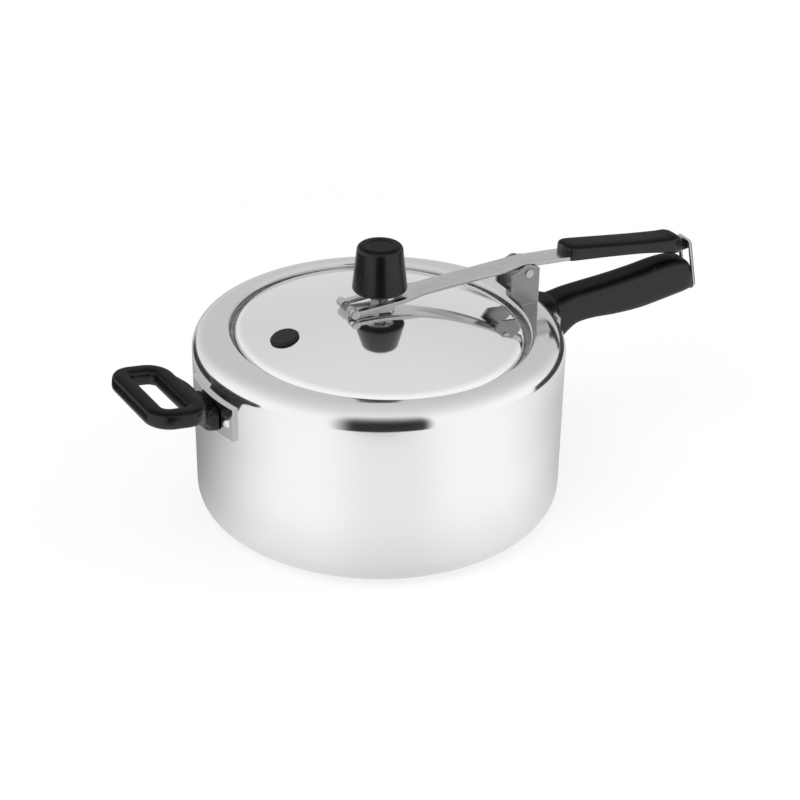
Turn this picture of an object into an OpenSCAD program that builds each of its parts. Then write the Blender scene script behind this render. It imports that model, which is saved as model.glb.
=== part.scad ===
// Stovetop pressure cooker with an oval lid that is drawn up against the rim
// from inside by a lever.  Millimetres, +Z up, origin on the pot's axis in the
// plane of its base, +X along the long handle.

/* [Pot] */
// Outer radius of the pot's wall
pot_radius = 115; // [110:1:122]
// Height of the pot, base to rim
pot_height = 118; // [100:1:140]
// Thickness of the wall and of the rim
wall = 2.5; // [2:0.1:3]
// Thickness of the base
base_thickness = 3; // [2.5:0.1:5]
// Radius of the bend between the base and the wall
base_bend = 16; // [12:1:20]
// Radius of the bend between the wall and the rim
shoulder_bend = 6; // [5:0.5:7]

/* [Rim opening] */
// Width of the rim at the two handles
rim_width_ends = 24; // [23:0.5:26]
// Width of the rim half way between the handles
rim_width_sides = 17; // [16:0.5:20]
// Depth that the lip of the opening is turned down below the rim's top
lip_depth = 7; // [6:0.5:8]
// Radius of the roll on the lip's upper edge
lip_roll = 3; // [2:0.25:3.5]

/* [Lid] */
// Gap all round between the lid's shoulder and the lip
lid_gap = 2.5; // [2:0.1:3.5]
// Thickness of the lid's metal
lid_thickness = 2.2; // [1.8:0.1:2.6]
// Rise of the dome from the lid's edge to its centre
lid_rise = 15.2; // [13:0.1:18]
// Depth of the dome's edge below the rim's top
lid_edge_drop = 3; // [2:0.5:4]
// Radius of the bead round the dome's edge
lid_bead = 3.5; // [3:0.25:4]
// Width of the flange that carries the gasket
flange_width = 7.5; // [6:0.5:8]
// Height of the gasket
gasket_height = 4.3; // [3.5:0.1:5]

/* [Lever] */
// Width of the lever's strap
strap_width = 16; // [13:0.5:17]
// Thickness of the lever's strap
strap_thickness = 2.5; // [2:0.1:3]
// Height of the strap's underside over the rim at the fulcrum
strap_height = 23.8; // [21:0.1:28]
// Fall of the strap from the fulcrum to its grip, in degrees
strap_fall = 1.5; // [0.5:0.1:2.5]
// Width of the fork at the lid end
fork_width = 22; // [21:0.5:24]
// Width of the slot between the fork's prongs
fork_slot = 13.4; // [13:0.1:14]
// Reach of the fork's eyes past the lid's centre
fork_reach = 21; // [19:0.5:24]
// Radius of the fork's eyes
eye_radius = 2.9; // [2.6:0.1:3.2]
// Distance from the pot's wall in to the fulcrum pin
fulcrum_inset = 17; // [16:0.5:18]
// Radius of the fulcrum pin
fulcrum_pin_radius = 2.5; // [2:0.1:3]
// Thickness of the bent steel brackets
bracket_thickness = 2; // [1.5:0.1:2.5]
// Distance from the pot's wall out to the grip's inner end
grip_start = 12.5; // [8:0.5:16]
// Height of the grip's inner end over the strap's underside
grip_height = 9.3; // [8:0.1:11]
// Width of the lever's grip
grip_width = 20; // [19:0.5:24]

/* [Long handle] */
// Length of the long handle from the pot's wall
handle_length = 110.5; // [100:0.5:130]
// Width of the long handle
handle_width = 22; // [20:0.5:26]
// Depth of the long handle's root, below the rim
handle_depth = 42; // [38:1:46]
// Height of the mounting tongue's middle below the rim
tongue_drop = 11.5; // [11:0.5:14]
// Length of the long handle's mounting tongue
tongue_length = 36; // [30:1:44]

/* [Helper handle] */
// Turn of the helper handle round the pot, from opposite the long handle
helper_turn = 5.6; // [0:0.2:8]
// Reach of the helper handle from the pot's wall
helper_reach = 52; // [48:1:58]
// Width of the helper handle's loop
helper_width = 71.5; // [64:0.5:78]
// Width of the loop's bar
helper_bar = 11; // [9:0.5:12]
// Thickness of the loop's bar
helper_thickness = 10.4; // [9:0.1:12]
// Upward tilt of the loop, in degrees
helper_tilt = 7.5; // [5:0.5:12]
// Height of the loop's middle below the rim
helper_drop = 11.5; // [10:0.5:14]

/* [Latch] */
// Radius of the latch bail's wire
wire_radius = 1.2; // [1:0.1:1.4]
// Half width of the lug that carries the bail
lug_half_width = 4.4; // [4:0.1:5]
// Height of the bail's pivot below the rim
bail_drop = 12.5; // [11:0.5:14]
// Length of the flat seat on the grip's nose
nose_length = 5.5; // [5:0.5:7]

/* [Vent and weight] */
// Radius of the vent pipe's threaded stem
stem_radius = 4.5; // [4:0.1:4.8]
// Radius of the vent pipe's nozzle
nozzle_radius = 3.4; // [3:0.1:3.8]
// Radius of the steam passage
vent_bore = 1.2; // [0.8:0.1:1.6]
// Height of the nozzle's tip over the lid's top
nozzle_height = 21; // [20:0.5:24]
// Distance across the flats of the vent nut
nut_flats = 10.4; // [9.6:0.1:10.8]
// Radius of the weight at its foot
weight_foot_radius = 16; // [15:0.5:17]
// Radius of the weight at its crown
weight_crown_radius = 13; // [12:0.5:14]
// Height of the weight
weight_height = 28.5; // [26:0.5:34]
// Height of the weight's foot over the lid's top
weight_lift = 12.3; // [12:0.1:13]
// Radius of the weight's steel core
core_radius = 9.5; // [8:0.1:10]

/* [Safety plug] */
// Distance of the safety plug in from the opening's end
plug_inset = 27; // [24:1:34]
// Turn of the safety plug round the lid, from opposite the long handle
plug_turn = 3; // [0:0.5:8]
// Radius of the safety plug's head
plug_radius = 8.9; // [7:0.1:10]
// Height of the safety plug's head
plug_height = 2; // [1.8:0.1:4]
// Radius of the safety plug's neck
plug_neck = 4.6; // [4:0.1:5.5]

/* [Rivets and screws] */
// Radius of the rivets' shanks
rivet_radius = 2; // [1.5:0.1:2.5]
// Radius of the rivets' heads
rivet_head = 3.8; // [3.4:0.1:4.2]
// Radius of the screws' shanks
screw_radius = 1.8; // [1.5:0.1:2.2]
// Radius of the screws' heads
screw_head = 3.4; // [3:0.1:4]

/* [Hidden] */
$fn = 96;

// Fits and gaps
running_fit = 0.06;    // radial clearance of a pin that turns
close_fit = 0.05;      // clearance of parts fastened together
rest_gap = 0.3;        // gap between parts that move apart
slip = 0.1;            // clearance of seats, of screws' wells and of the weight's core
over = 1;              // overshoot of cutting tools

// Pot and rim
rim_z = pot_height;
open_x = pot_radius - rim_width_ends;
open_y = pot_radius - rim_width_sides;
oval = open_x / open_y;                 // the opening's width over its length
inner_radius = pot_radius - wall;
lip_crease = 20;                        // angle at which the roll meets the rim

// Fulcrum bracket: its foot stands on the rim's flat
foot_inner = open_x + lip_roll + 0.5;
foot_outer = pot_radius - shoulder_bend - 3.5;
fulcrum_rivet_radius = 1.6;
fulcrum_rivet_head = 2.8;
fulcrum_rivet_height = 1;
fulcrum_rivet_y = 5;
ear_lean = 8;                           // how far the ears reach in over the lid
ear_low = 9;                            // height where the ears' inner edge leans back
ear_rise = 0.5;                         // from the pin's axis up to the leaning edge's start
ear_crest = 40;                         // half angle of the rounded crest
ear_corner = 1.5;                       // bevel of the ears' outer top corner

// Lid, drawn at its long half and squeezed along X by `oval`
lid_edge = open_y - lid_gap;
lid_top = rim_z - lid_edge_drop + lid_rise;
dome_radius = (lid_edge * lid_edge + lid_rise * lid_rise) / (2 * lid_rise);
dome_centre = lid_top - dome_radius;
gasket_top = rim_z - lip_depth - rest_gap;
flange_z = gasket_top - gasket_height;
flange_edge = lid_edge + flange_width;

// Lever
fulcrum_x = pot_radius - fulcrum_inset;
fulcrum_z = rim_z + strap_height - fulcrum_pin_radius - rest_gap;
eye_x = -fork_reach;
eye_gap = 0.6;                          // air under the fork's eyes
eye_z = dome_height(eye_x, 0) + eye_gap + eye_radius;
eye_pin_radius = 1.4;
strap_slope = atan((rim_z + strap_height - eye_z + strap_thickness / 2) / (fulcrum_x - eye_x));
strap_taper_start = 14;                 // where the fork begins to narrow
strap_taper_end = 27;
slot_end = 3;                           // centre of the slot's round end
ear_play = 1.2;                         // side play between strap and ears
ear_inner = strap_width / 2 + ear_play;
ear_outer = ear_inner + bracket_thickness;
ear_radius = fulcrum_pin_radius + 2.7;
lug_outer = fork_slot / 2 - rest_gap;
lug_thickness = 2.4;
saddle_thickness = 1.6;
saddle_top = lid_top + saddle_thickness;
saddle_front = 7.5;                     // reach of the saddle towards the long handle
saddle_skirt = 3;                       // its sides reach this far below the dome's top

// Handles
handle_end = pot_radius + handle_length;
seat_radius = pot_radius + bracket_thickness + 2 * close_fit;
lug_radius = 2.6;
lug_reach = 2.3;                        // from the handle's end to the bail's pivot
lug_root = 6;                           // how far the lug starts inside the handle
bail_x = handle_end + lug_reach;
bail_z = rim_z - bail_drop;
grip_x = pot_radius + grip_start;
seat_start = handle_end - 7.2;          // inner end of the bail's seat
strap_end = handle_end - 20;
bar_x = seat_start + nose_length / 2;   // where the bail crosses the nose
seat_fall = 2.1;                        // the seat lies this far below the strap
bar_z = strap_under(bar_x) - seat_fall + rest_gap + wire_radius;
bail_length = norm([bar_x - bail_x, bar_z - bail_z]);
bail_lean = atan2(bail_x - bar_x, bar_z - bail_z);
bail_elbow = 1.8;                       // bend of the wire, just outside the lug
bail_half = lug_half_width + bail_elbow;

// Helper handle
helper_x = -(pot_radius + helper_reach);
loop_depth = 37.5;                      // outer depth of the loop, along X
helper_tongue_drop = 28;
helper_root_half = 14.2;                // half width of its root on the wall
rivet_dome = 1.6;                       // height of a rivet's head
rivet_margin = 1.2;                     // from a rivet's head to the handle's root
plate_margin = 3;                       // from a rivet's head to the plate's edge
handle_root_half = handle_width / 2 + 2;
handle_plate_middle = 22;
handle_plate_half = 15;
tongue_half = 7;
handle_screw_x = [18, 31];              // from the pot's wall
helper_plate_half = 10.5;
helper_tongue_half = 8;
helper_tongue_length = 14;
helper_screw_x = 8.5;                   // from the pot's wall

// Screws
screw_head_height = 2.4;
screw_slot = 0.9;
screw_depth = 7.5;                      // from the tongue down to the screws' heads
screw_tip = 3;                          // from the tongue up to the screws' tips
helper_screw_depth = 4.5;
well_reach = 20;                        // the wells are cut this far below the heads
grip_screw_x = [0.29, 0.8];             // shares of the strap's length in the grip
grip_screw_reach = 2.2;                 // from the strap up to the screws' tips
grip_screw_head = 1.4;

// Safety plug's place on the dome
plug_x = -(open_x - plug_inset) * cos(plug_turn);
plug_y = -(open_x - plug_inset) * sin(plug_turn);

// Vent: the domed underside falls by seat_sag over the washer's radius
vent_flange_radius = 9;
vent_flange_height = 2.5;
washer_radius = vent_flange_radius - 1;
washer_height = 1.2;
nut_height = 4;
lid_under = lid_top - lid_thickness;
seat_sag = washer_radius * washer_radius / (2 * dome_radius * oval * oval) + close_fit;

// Weight
weight_foot = lid_top + weight_lift;
nozzle_top = lid_top + nozzle_height;
core_foot = weight_foot + 1;
core_height = 20;

// ---------------------------------------------------------------- helpers

// Height of the lid's outer surface over a point of the lid
function dome_height(x, y) =
    dome_centre + sqrt(dome_radius * dome_radius - x * x / (oval * oval) - y * y);

// Height of the strap's underside at a distance along the lever
function strap_under(x) = rim_z + strap_height
    + (x < fulcrum_x ? (x - fulcrum_x) * tan(strap_slope) : (fulcrum_x - x) * tan(strap_fall));

// Smooth curve through four neighbouring stations
function spline(a, b, c, d, t) =
    0.5 * (2 * b + (c - a) * t + (2 * a - 5 * b + 4 * c - d) * t * t
    + (3 * b - a - 3 * c + d) * t * t * t);

// Stations with `steps` intervals between each pair
function refine(list, steps) = let (last = len(list) - 1) [
    for (i = [0 : last - 1], j = [0 : steps - 1])
        spline(list[max(i - 1, 0)], list[i], list[i + 1], list[min(i + 2, last)], j / steps),
    list[last]
];

// Rounded rectangular ring at a station [x, low z, high z, half width]
function ring(s, count, squareness) = [
    for (k = [0 : count - 1])
        let (a = 360 * (k + 0.5) / count, p = 2 / squareness)
        [s[0], s[3] * sign(cos(a)) * pow(abs(cos(a)), p),
         (s[1] + s[2]) / 2 + (s[2] - s[1]) / 2 * sign(sin(a)) * pow(abs(sin(a)), p)]
];

// Moulded bar through the stations
module loft(stations, steps = 2, count = 20, squareness = 4) {
    path = refine(stations, steps);
    rings = len(path);
    polyhedron(
        points = [for (s = path) each ring(s, count, squareness)],
        faces = [
            [for (k = [0 : count - 1]) k],
            for (i = [0 : rings - 2], k = [0 : count - 1])
                let (a = i * count + k, b = i * count + (k + 1) % count)
                each [[b, a, a + count], [b, a + count, b + count]],
            [for (k = [count - 1 : -1 : 0]) (rings - 1) * count + k]
        ]
    );
}

// Cylinder along Y from one side to the other
module cross_pin(radius, from, to) {
    translate([0, from, 0]) rotate([-90, 0, 0]) cylinder(r = radius, h = to - from);
}

// Both sides of the XZ plane
module both_sides() {
    children();
    mirror([0, 1, 0]) children();
}

// Half section of a drum with rounded lower and upper corners
module drum_section(radius, low, high, low_bend, high_bend) {
    translate([0, low + low_bend]) square([radius, high - low - low_bend - high_bend]);
    translate([0, low]) square([radius - low_bend, low_bend + over]);
    translate([0, high - high_bend - over]) square([radius - high_bend, high_bend + over]);
    intersection() {
        union() {
            translate([radius - low_bend, low + low_bend]) circle(r = low_bend);
            translate([radius - high_bend, high - high_bend]) circle(r = high_bend);
        }
        translate([0, low]) square([radius, high - low]);
    }
}

// Half section under a dome whose edge is rounded down into an upright side
module dome_section(radius, centre, edge, bead, low) {
    bead_r = edge - bead;
    bead_z = centre + sqrt(pow(radius - bead, 2) - pow(bead_r, 2));
    tangent_r = bead_r * radius / (radius - bead);
    intersection() {
        translate([0, centre]) circle(r = radius, $fn = 720);
        translate([0, low]) square([tangent_r, radius]);
    }
    translate([bead_r, bead_z]) circle(r = bead);
    translate([0, low]) square([edge, bead_z - low]);
}

// Oval solid whose long half is the given half section
module oval_solid() {
    scale([oval, 1, 1]) rotate_extrude($fn = 180) children();
}

// Angle round the wall at a distance from a handle's middle
function wall_angle(distance) = asin(distance / pot_radius);

// Where the rivets stand beside a handle's root, and where its plate ends
function rivet_angle(root_half) = wall_angle(root_half + rivet_margin + rivet_head);
function plate_angle(root_half) =
    wall_angle(root_half + rivet_margin + 2 * rivet_head + plate_margin);

// Plate bent round the pot's wall
module wall_plate(root_half, low, high) {
    half_angle = plate_angle(root_half);
    rotate([0, 0, -half_angle]) rotate_extrude(angle = 2 * half_angle)
        translate([pot_radius + close_fit, low]) square([bracket_thickness, high - low]);
}

// Rivet through the wall and a bracket, along X
module wall_rivet() {
    inside = sqrt(inner_radius * inner_radius - rivet_head * rivet_head);
    outside = pot_radius + close_fit + bracket_thickness;
    rotate([0, 90, 0]) {
        translate([0, 0, inside]) cylinder(r = rivet_radius, h = outside - inside);
        translate([0, 0, inside - rivet_dome / 2]) cylinder(r = rivet_head, h = rivet_dome / 2);
        translate([0, 0, outside]) rivet_cap();
    }
}

// Domed head standing on the XY plane
module rivet_cap() {
    cap = (rivet_head * rivet_head + rivet_dome * rivet_dome) / (2 * rivet_dome);
    intersection() {
        translate([0, 0, rivet_dome - cap]) sphere(r = cap);
        cylinder(r = rivet_head + over, h = rivet_dome + over);
    }
}

// Hole for a wall rivet, along X
module wall_rivet_hole() {
    rotate([0, 90, 0]) translate([0, 0, inner_radius - over])
        cylinder(r = rivet_radius + close_fit, h = wall + bracket_thickness + 3 * over);
}

// The two places of a bracket's wall rivets
module at_wall_rivets(root_half, z) {
    for (side = [-1, 1])
        rotate([0, 0, side * rivet_angle(root_half)]) translate([0, 0, z]) children();
}

module at_handle_rivets() {
    at_wall_rivets(handle_root_half, rim_z - handle_plate_middle) children();
}

module at_helper_rivets() {
    rotate([0, 0, 180 + helper_turn])
        at_wall_rivets(helper_root_half, rim_z - helper_tongue_drop) children();
}

// Screw driven upwards: its head is at the bottom, its tip at `top`
module screw(bottom, top) {
    difference() {
        union() {
            translate([0, 0, bottom]) cylinder(r = screw_head, h = screw_head_height);
            translate([0, 0, bottom]) cylinder(r = screw_radius, h = top - bottom);
        }
        translate([-screw_head, -screw_slot / 2, bottom - over])
            cube([2 * screw_head, screw_slot, over + screw_slot]);
    }
}

// Counterbored hole for that screw, open below
module screw_hole(bottom, top) {
    translate([0, 0, bottom + screw_head_height + close_fit])
        cylinder(r = screw_radius + close_fit, h = top - bottom - screw_head_height);
    translate([0, 0, bottom - well_reach])
        cylinder(r = screw_head + slip, h = well_reach + screw_head_height + close_fit);
}

// ---------------------------------------------------------------- pot

module pot_body() {
    color("silver") difference() {
        rotate_extrude() drum_section(pot_radius, 0, rim_z, base_bend, shoulder_bend);
        difference() {
            rotate_extrude() drum_section(inner_radius, base_thickness, rim_z - wall,
                base_bend - wall, shoulder_bend - wall);
            translate([0, 0, rim_z - lip_depth]) scale([oval, 1, 1])
                cylinder(r = open_y + wall, h = lip_depth);
        }
        oval_solid() lip_cutter();
        at_handle_rivets() wall_rivet_hole();
        at_helper_rivets() wall_rivet_hole();
        at_fulcrum_rivets() translate([0, 0, -wall - over])
            cylinder(r = fulcrum_rivet_radius + close_fit, h = wall + 2 * over);
    }
}

// Half section of the opening, with the rolled edge of its lip
module lip_cutter() {
    roll_z = rim_z - lip_roll * cos(lip_crease);
    translate([0, rim_z - lip_depth - over]) square([open_y, lip_depth + 3 * over]);
    difference() {
        translate([open_y - over, roll_z]) square([over + lip_roll, rim_z + over - roll_z]);
        translate([open_y + lip_roll, roll_z]) circle(r = lip_roll);
    }
}

// ---------------------------------------------------------------- fulcrum

module at_fulcrum_rivets() {
    for (side = [-1, 1])
        translate([(foot_inner + foot_outer) / 2, side * fulcrum_rivet_y, rim_z]) children();
}

// Side view of one ear: it leans in over the lid and is rounded about the pin
module ear_outline() {
    pin_z = fulcrum_z - rim_z;
    side = ear_radius * sin(ear_crest);
    top = pin_z + ear_radius * cos(ear_crest);
    polygon([
        [foot_inner, 0], [foot_outer, 0], [foot_outer, top - ear_corner],
        [foot_outer - ear_corner, top], [fulcrum_x - side, top],
        [foot_inner - ear_lean, pin_z + ear_rise], [foot_inner - ear_lean, ear_low],
        [foot_inner, bracket_thickness]
    ]);
    translate([fulcrum_x, pin_z]) circle(r = ear_radius);
}

module fulcrum_bracket() {
    color("gainsboro") difference() {
        union() {
            translate([foot_inner, -ear_outer, rim_z])
                cube([foot_outer - foot_inner, 2 * ear_outer, bracket_thickness]);
            both_sides() translate([0, ear_outer, rim_z]) rotate([90, 0, 0])
                linear_extrude(bracket_thickness) ear_outline();
        }
        translate([fulcrum_x, 0, fulcrum_z])
            cross_pin(fulcrum_pin_radius + close_fit, -ear_outer - over, ear_outer + over);
        at_fulcrum_rivets() translate([0, 0, -over])
            cylinder(r = fulcrum_rivet_radius + close_fit, h = bracket_thickness + 2 * over);
    }
}

module fulcrum_rivets() {
    color("lightgray") at_fulcrum_rivets() {
        translate([0, 0, -wall]) cylinder(r = fulcrum_rivet_radius, h = wall + bracket_thickness);
        for (z = [bracket_thickness, -wall - fulcrum_rivet_height])
            translate([0, 0, z]) cylinder(r = fulcrum_rivet_head, h = fulcrum_rivet_height);
    }
}

module fulcrum_pin() {
    stub = 0.8;
    color("lightgray") translate([fulcrum_x, 0, fulcrum_z])
        cross_pin(fulcrum_pin_radius, -ear_outer - stub, ear_outer + stub);
}

// ---------------------------------------------------------------- long handle

module handle_bracket() {
    color("gainsboro") difference() {
        union() {
            wall_plate(handle_root_half, rim_z - handle_plate_middle - handle_plate_half,
                rim_z - handle_plate_middle + handle_plate_half);
            translate([pot_radius + bracket_thickness / 2, -tongue_half,
                       rim_z - tongue_drop - bracket_thickness / 2])
                cube([tongue_length - bracket_thickness / 2, 2 * tongue_half, bracket_thickness]);
        }
        at_handle_rivets() wall_rivet_hole();
        at_handle_screws() translate([0, 0, -tongue_drop - bracket_thickness])
            cylinder(r = screw_radius + close_fit, h = 2 * bracket_thickness);
    }
}

module handle_rivets() {
    color("lightgray") at_handle_rivets() wall_rivet();
}

module at_handle_screws() {
    for (x = handle_screw_x) translate([pot_radius + x, 0, rim_z]) children();
}

// Stations of the long handle: [distance along it, low, high, half width], where
// the heights are from the rim in shares of the root's depth
function handle_stations() = let (l = handle_length, w = handle_width / 2, r = handle_root_half) [
    [-l * 0.04, -1, -0.12, r],
    [l * 0.04, -0.9, -0.095, r - 0.4],
    [l * 0.09, -0.775, -0.09, r - 1],
    [l * 0.145, -0.635, -0.068, w + 0.4],
    [l * 0.21, -0.54, -0.045, w],
    [l * 0.31, -0.51, -0.014, w],
    [l * 0.46, -0.52, 0.036, w],
    [l * 0.62, -0.505, 0.1, w],
    [l * 0.76, -0.45, 0.17, w],
    [l * 0.87, -0.395, 0.2, w],
    [l * 0.935, -0.36, 0.182, w],
    [l * 0.965, -0.34, 0.12, w - 0.6],
    [l * 0.98, -0.335, -0.01, w - 1.4],
    [l * 0.993, -0.33, -0.16, w - 2],
    [l, -0.32, -0.25, w - 2.5]
];

module long_handle() {
    color([0.09, 0.09, 0.09]) difference() {
        union() {
            loft([for (s = handle_stations())
                [pot_radius + s[0], rim_z + handle_depth * s[1], rim_z + handle_depth * s[2], s[3]]]);
            translate([bail_x, 0, bail_z]) cross_pin(lug_radius, -lug_half_width, lug_half_width);
            translate([handle_end - lug_root, -lug_half_width, bail_z - lug_radius])
                cube([lug_reach + lug_root, 2 * lug_half_width, 2 * lug_radius]);
        }
        cylinder(r = seat_radius, h = rim_z + over, $fn = 180);
        translate([pot_radius, -tongue_half - slip,
                   rim_z - tongue_drop - bracket_thickness / 2 - slip])
            cube([tongue_length + slip, 2 * (tongue_half + slip), bracket_thickness + 2 * slip]);
        at_handle_screws() translate([0, 0, -tongue_drop]) screw_hole(-screw_depth, screw_tip);
        translate([bail_x, 0, bail_z])
            cross_pin(wire_radius + running_fit, -lug_half_width - over, lug_half_width + over);
    }
}

module handle_screws() {
    color("lightgray") at_handle_screws() translate([0, 0, -tongue_drop])
        screw(-screw_depth, screw_tip - slip);
}

// ---------------------------------------------------------------- helper handle

module at_helper_screw() {
    rotate([0, 0, helper_turn])
        translate([-pot_radius - helper_screw_x, 0, rim_z - helper_tongue_drop]) children();
}

module helper_bracket() {
    color("gainsboro") difference() {
        rotate([0, 0, helper_turn]) {
            rotate([0, 0, 180]) wall_plate(helper_root_half,
                rim_z - helper_tongue_drop - helper_plate_half,
                rim_z - helper_tongue_drop + helper_plate_half);
            translate([-pot_radius - helper_tongue_length, -helper_tongue_half,
                       rim_z - helper_tongue_drop - bracket_thickness / 2])
                cube([helper_tongue_length - bracket_thickness / 2, 2 * helper_tongue_half,
                      bracket_thickness]);
        }
        at_helper_rivets() wall_rivet_hole();
        at_helper_screw() translate([0, 0, -bracket_thickness])
            cylinder(r = screw_radius + close_fit, h = 2 * bracket_thickness);
    }
}

module helper_rivets() {
    color("lightgray") at_helper_rivets() wall_rivet();
}

// Section of the loop's bar, centred
module bar_section() {
    corner = 3.5;
    square([helper_bar - 2 * corner, helper_thickness], center = true);
    square([helper_bar, helper_thickness - 2 * corner], center = true);
    for (x = [-1, 1], y = [-1, 1])
        translate([x * (helper_bar / 2 - corner), y * (helper_thickness / 2 - corner)])
            circle(r = corner, $fn = 32);
}

// Closed loop of bar in the XY plane, centred
module loop(depth, width, bend) {
    half_x = depth / 2 - helper_bar / 2 - bend;
    half_y = width / 2 - helper_bar / 2 - bend;
    for (sx = [-1, 1], sy = [-1, 1])
        translate([sx * half_x, sy * half_y, 0]) scale([sx, sy, 1])
            rotate_extrude(angle = 90) translate([bend, 0]) bar_section();
    for (side = [0, 180]) rotate([0, 0, side]) {
        translate([half_x + bend, half_y, 0]) rotate([90, 0, 0])
            linear_extrude(2 * half_y) bar_section();
        translate([-half_x, half_y + bend, 0]) rotate([90, 0, 90])
            linear_extrude(2 * half_x) bar_section();
    }
}

// Height of the tilted loop's mid plane at a distance along the handle
function loop_height(x) =
    rim_z - helper_drop + (helper_x + loop_depth / 2 - x) * tan(helper_tilt);

// Stations of the helper handle's neck, from the loop's inner bar to the wall
function neck_stations() = let (
    loop_end = helper_x + loop_depth, gap = -pot_radius - loop_end, r = helper_root_half,
    root_low = rim_z - helper_tongue_drop - helper_plate_half + 0.5,
    root_high = rim_z - helper_tongue_drop + helper_plate_half - 2.5,
    bar_low = loop_height(loop_end) - helper_thickness / 2,
    bar_high = loop_height(loop_end) + helper_thickness / 2
) [
    [loop_end - helper_bar * 0.62, bar_low + 1.6, bar_high - 0.6, r - 1.6],
    [loop_end - helper_bar * 0.1, bar_low - 3.4, bar_high - 1.6, r - 1],
    [loop_end + gap * 0.26, root_low + 5, bar_high - 4.4, r - 0.5],
    [loop_end + gap * 0.55, root_low + 0.8, root_high + 2.4, r],
    [-pot_radius - 2, root_low, root_high, r],
    [-pot_radius + helper_bar * 0.7, root_low, root_high - 0.4, r]
];

module helper_handle() {
    loop_bend = 9;
    loop_x = helper_x + loop_depth / 2;
    color([0.09, 0.09, 0.09]) difference() {
        rotate([0, 0, helper_turn]) union() {
            translate([loop_x, 0, rim_z - helper_drop]) rotate([0, helper_tilt, 0])
                loop(loop_depth, helper_width, loop_bend);
            loft(neck_stations());
        }
        cylinder(r = seat_radius, h = rim_z + over);
        rotate([0, 0, helper_turn])
            translate([-pot_radius - helper_tongue_length - slip, -helper_tongue_half - slip,
                       rim_z - helper_tongue_drop - bracket_thickness / 2 - slip])
                cube([helper_tongue_length, 2 * (helper_tongue_half + slip),
                      bracket_thickness + 2 * slip]);
        at_helper_screw() screw_hole(-helper_screw_depth, screw_tip);
    }
}

module helper_screw() {
    color("lightgray") at_helper_screw() screw(-helper_screw_depth, screw_tip - slip);
}

// ---------------------------------------------------------------- lever

// Side view of the strap
module strap_side() {
    rise = strap_thickness / cos(strap_slope);
    polygon([
        [eye_x, strap_under(eye_x)],
        [fulcrum_x, strap_under(fulcrum_x)],
        [strap_end, strap_under(strap_end)],
        [strap_end, strap_under(strap_end) + rise],
        [fulcrum_x, strap_under(fulcrum_x) + rise],
        [eye_x, strap_under(eye_x) + rise]
    ]);
}

// Plan of the strap, with its fork
module strap_plan() {
    difference() {
        polygon([
            [eye_x, -fork_width / 2], [strap_taper_start, -fork_width / 2],
            [strap_taper_end, -strap_width / 2], [strap_end, -strap_width / 2],
            [strap_end, strap_width / 2], [strap_taper_end, strap_width / 2],
            [strap_taper_start, fork_width / 2], [eye_x, fork_width / 2]
        ]);
        translate([slot_end, 0]) circle(d = fork_slot);
        translate([eye_x - over, -fork_slot / 2]) square([slot_end - eye_x + over, fork_slot]);
    }
}

module lever_strap() {
    color("gainsboro") difference() {
        union() {
            intersection() {
                translate([0, fork_width, 0]) rotate([90, 0, 0])
                    linear_extrude(2 * fork_width) strap_side();
                linear_extrude(rim_z + 2 * strap_height) strap_plan();
            }
            both_sides() translate([eye_x, 0, eye_z])
                cross_pin(eye_radius, fork_slot / 2, fork_width / 2);
        }
        translate([eye_x, 0, eye_z])
            cross_pin(eye_pin_radius + running_fit, -fork_width, fork_width);
        at_grip_screws() translate([0, 0, -over])
            cylinder(r = screw_radius + close_fit, h = strap_thickness + 2 * over);
    }
}

module at_grip_screws() {
    for (share = grip_screw_x) {
        x = grip_x + share * (strap_end - grip_x);
        translate([x, 0, strap_under(x)]) children();
    }
}

// Stations of the grip: [x, low, high, half width], where the heights are from the
// strap's underside in shares of the grip's height
function grip_stations() = let (
    w = grip_width / 2, l = strap_end - grip_x, e = seat_start + nose_length,
    seat = -seat_fall / grip_height
) [
    [grip_x, -0.12, 0.88, w * 0.56],
    [grip_x + l * 0.02, -0.14, 0.97, w * 0.8],
    [grip_x + l * 0.05, -0.15, 1, w * 0.94],
    [grip_x + l * 0.1, -0.15, 1, w],
    [grip_x + l * 0.36, -0.18, 0.84, w],
    [grip_x + l * 0.72, -0.24, 0.63, w],
    [strap_end - l * 0.04, -0.36, 0.55, w],
    [strap_end + l * 0.04, -0.56, 0.58, w * 0.94],
    [seat_start - nose_length, -0.6, 0.44, w * 0.76],
    [seat_start - nose_length * 0.4, -0.6, 0.1, w * 0.55],
    [seat_start - nose_length * 0.05, -0.6, -0.16, w * 0.45],
    [seat_start + nose_length * 0.2, -0.6, seat, w * 0.42],
    [e - nose_length * 0.3, -0.58, seat, w * 0.4],
    [e, -0.54, seat - 0.06, w * 0.32]
];

module lever_grip() {
    color([0.09, 0.09, 0.09]) difference() {
        loft([for (s = grip_stations())
            [s[0], strap_under(s[0]) + grip_height * s[1],
             strap_under(s[0]) + grip_height * s[2], s[3]]]);
        translate([grip_x, 0, strap_under(grip_x)]) rotate([0, strap_fall, 0])
            translate([-over, -strap_width / 2 - slip, -slip])
                cube([strap_end - grip_x + over + slip, strap_width + 2 * slip,
                      strap_thickness + 2 * slip]);
        at_grip_screws() {
            translate([0, 0, -over]) cylinder(r = screw_radius + close_fit,
                h = over + strap_thickness + grip_screw_reach);
            translate([0, 0, -grip_height]) cylinder(r = screw_head + slip, h = grip_height - slip);
        }
    }
}

module grip_screws() {
    color("lightgray") at_grip_screws() {
        cylinder(r = screw_radius, h = strap_thickness + grip_screw_reach - slip);
        translate([0, 0, -grip_screw_head - 2 * slip])
            cylinder(r = screw_head, h = grip_screw_head);
        translate([0, 0, -3 * slip]) cylinder(r = screw_radius, h = 4 * slip);
    }
}

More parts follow.
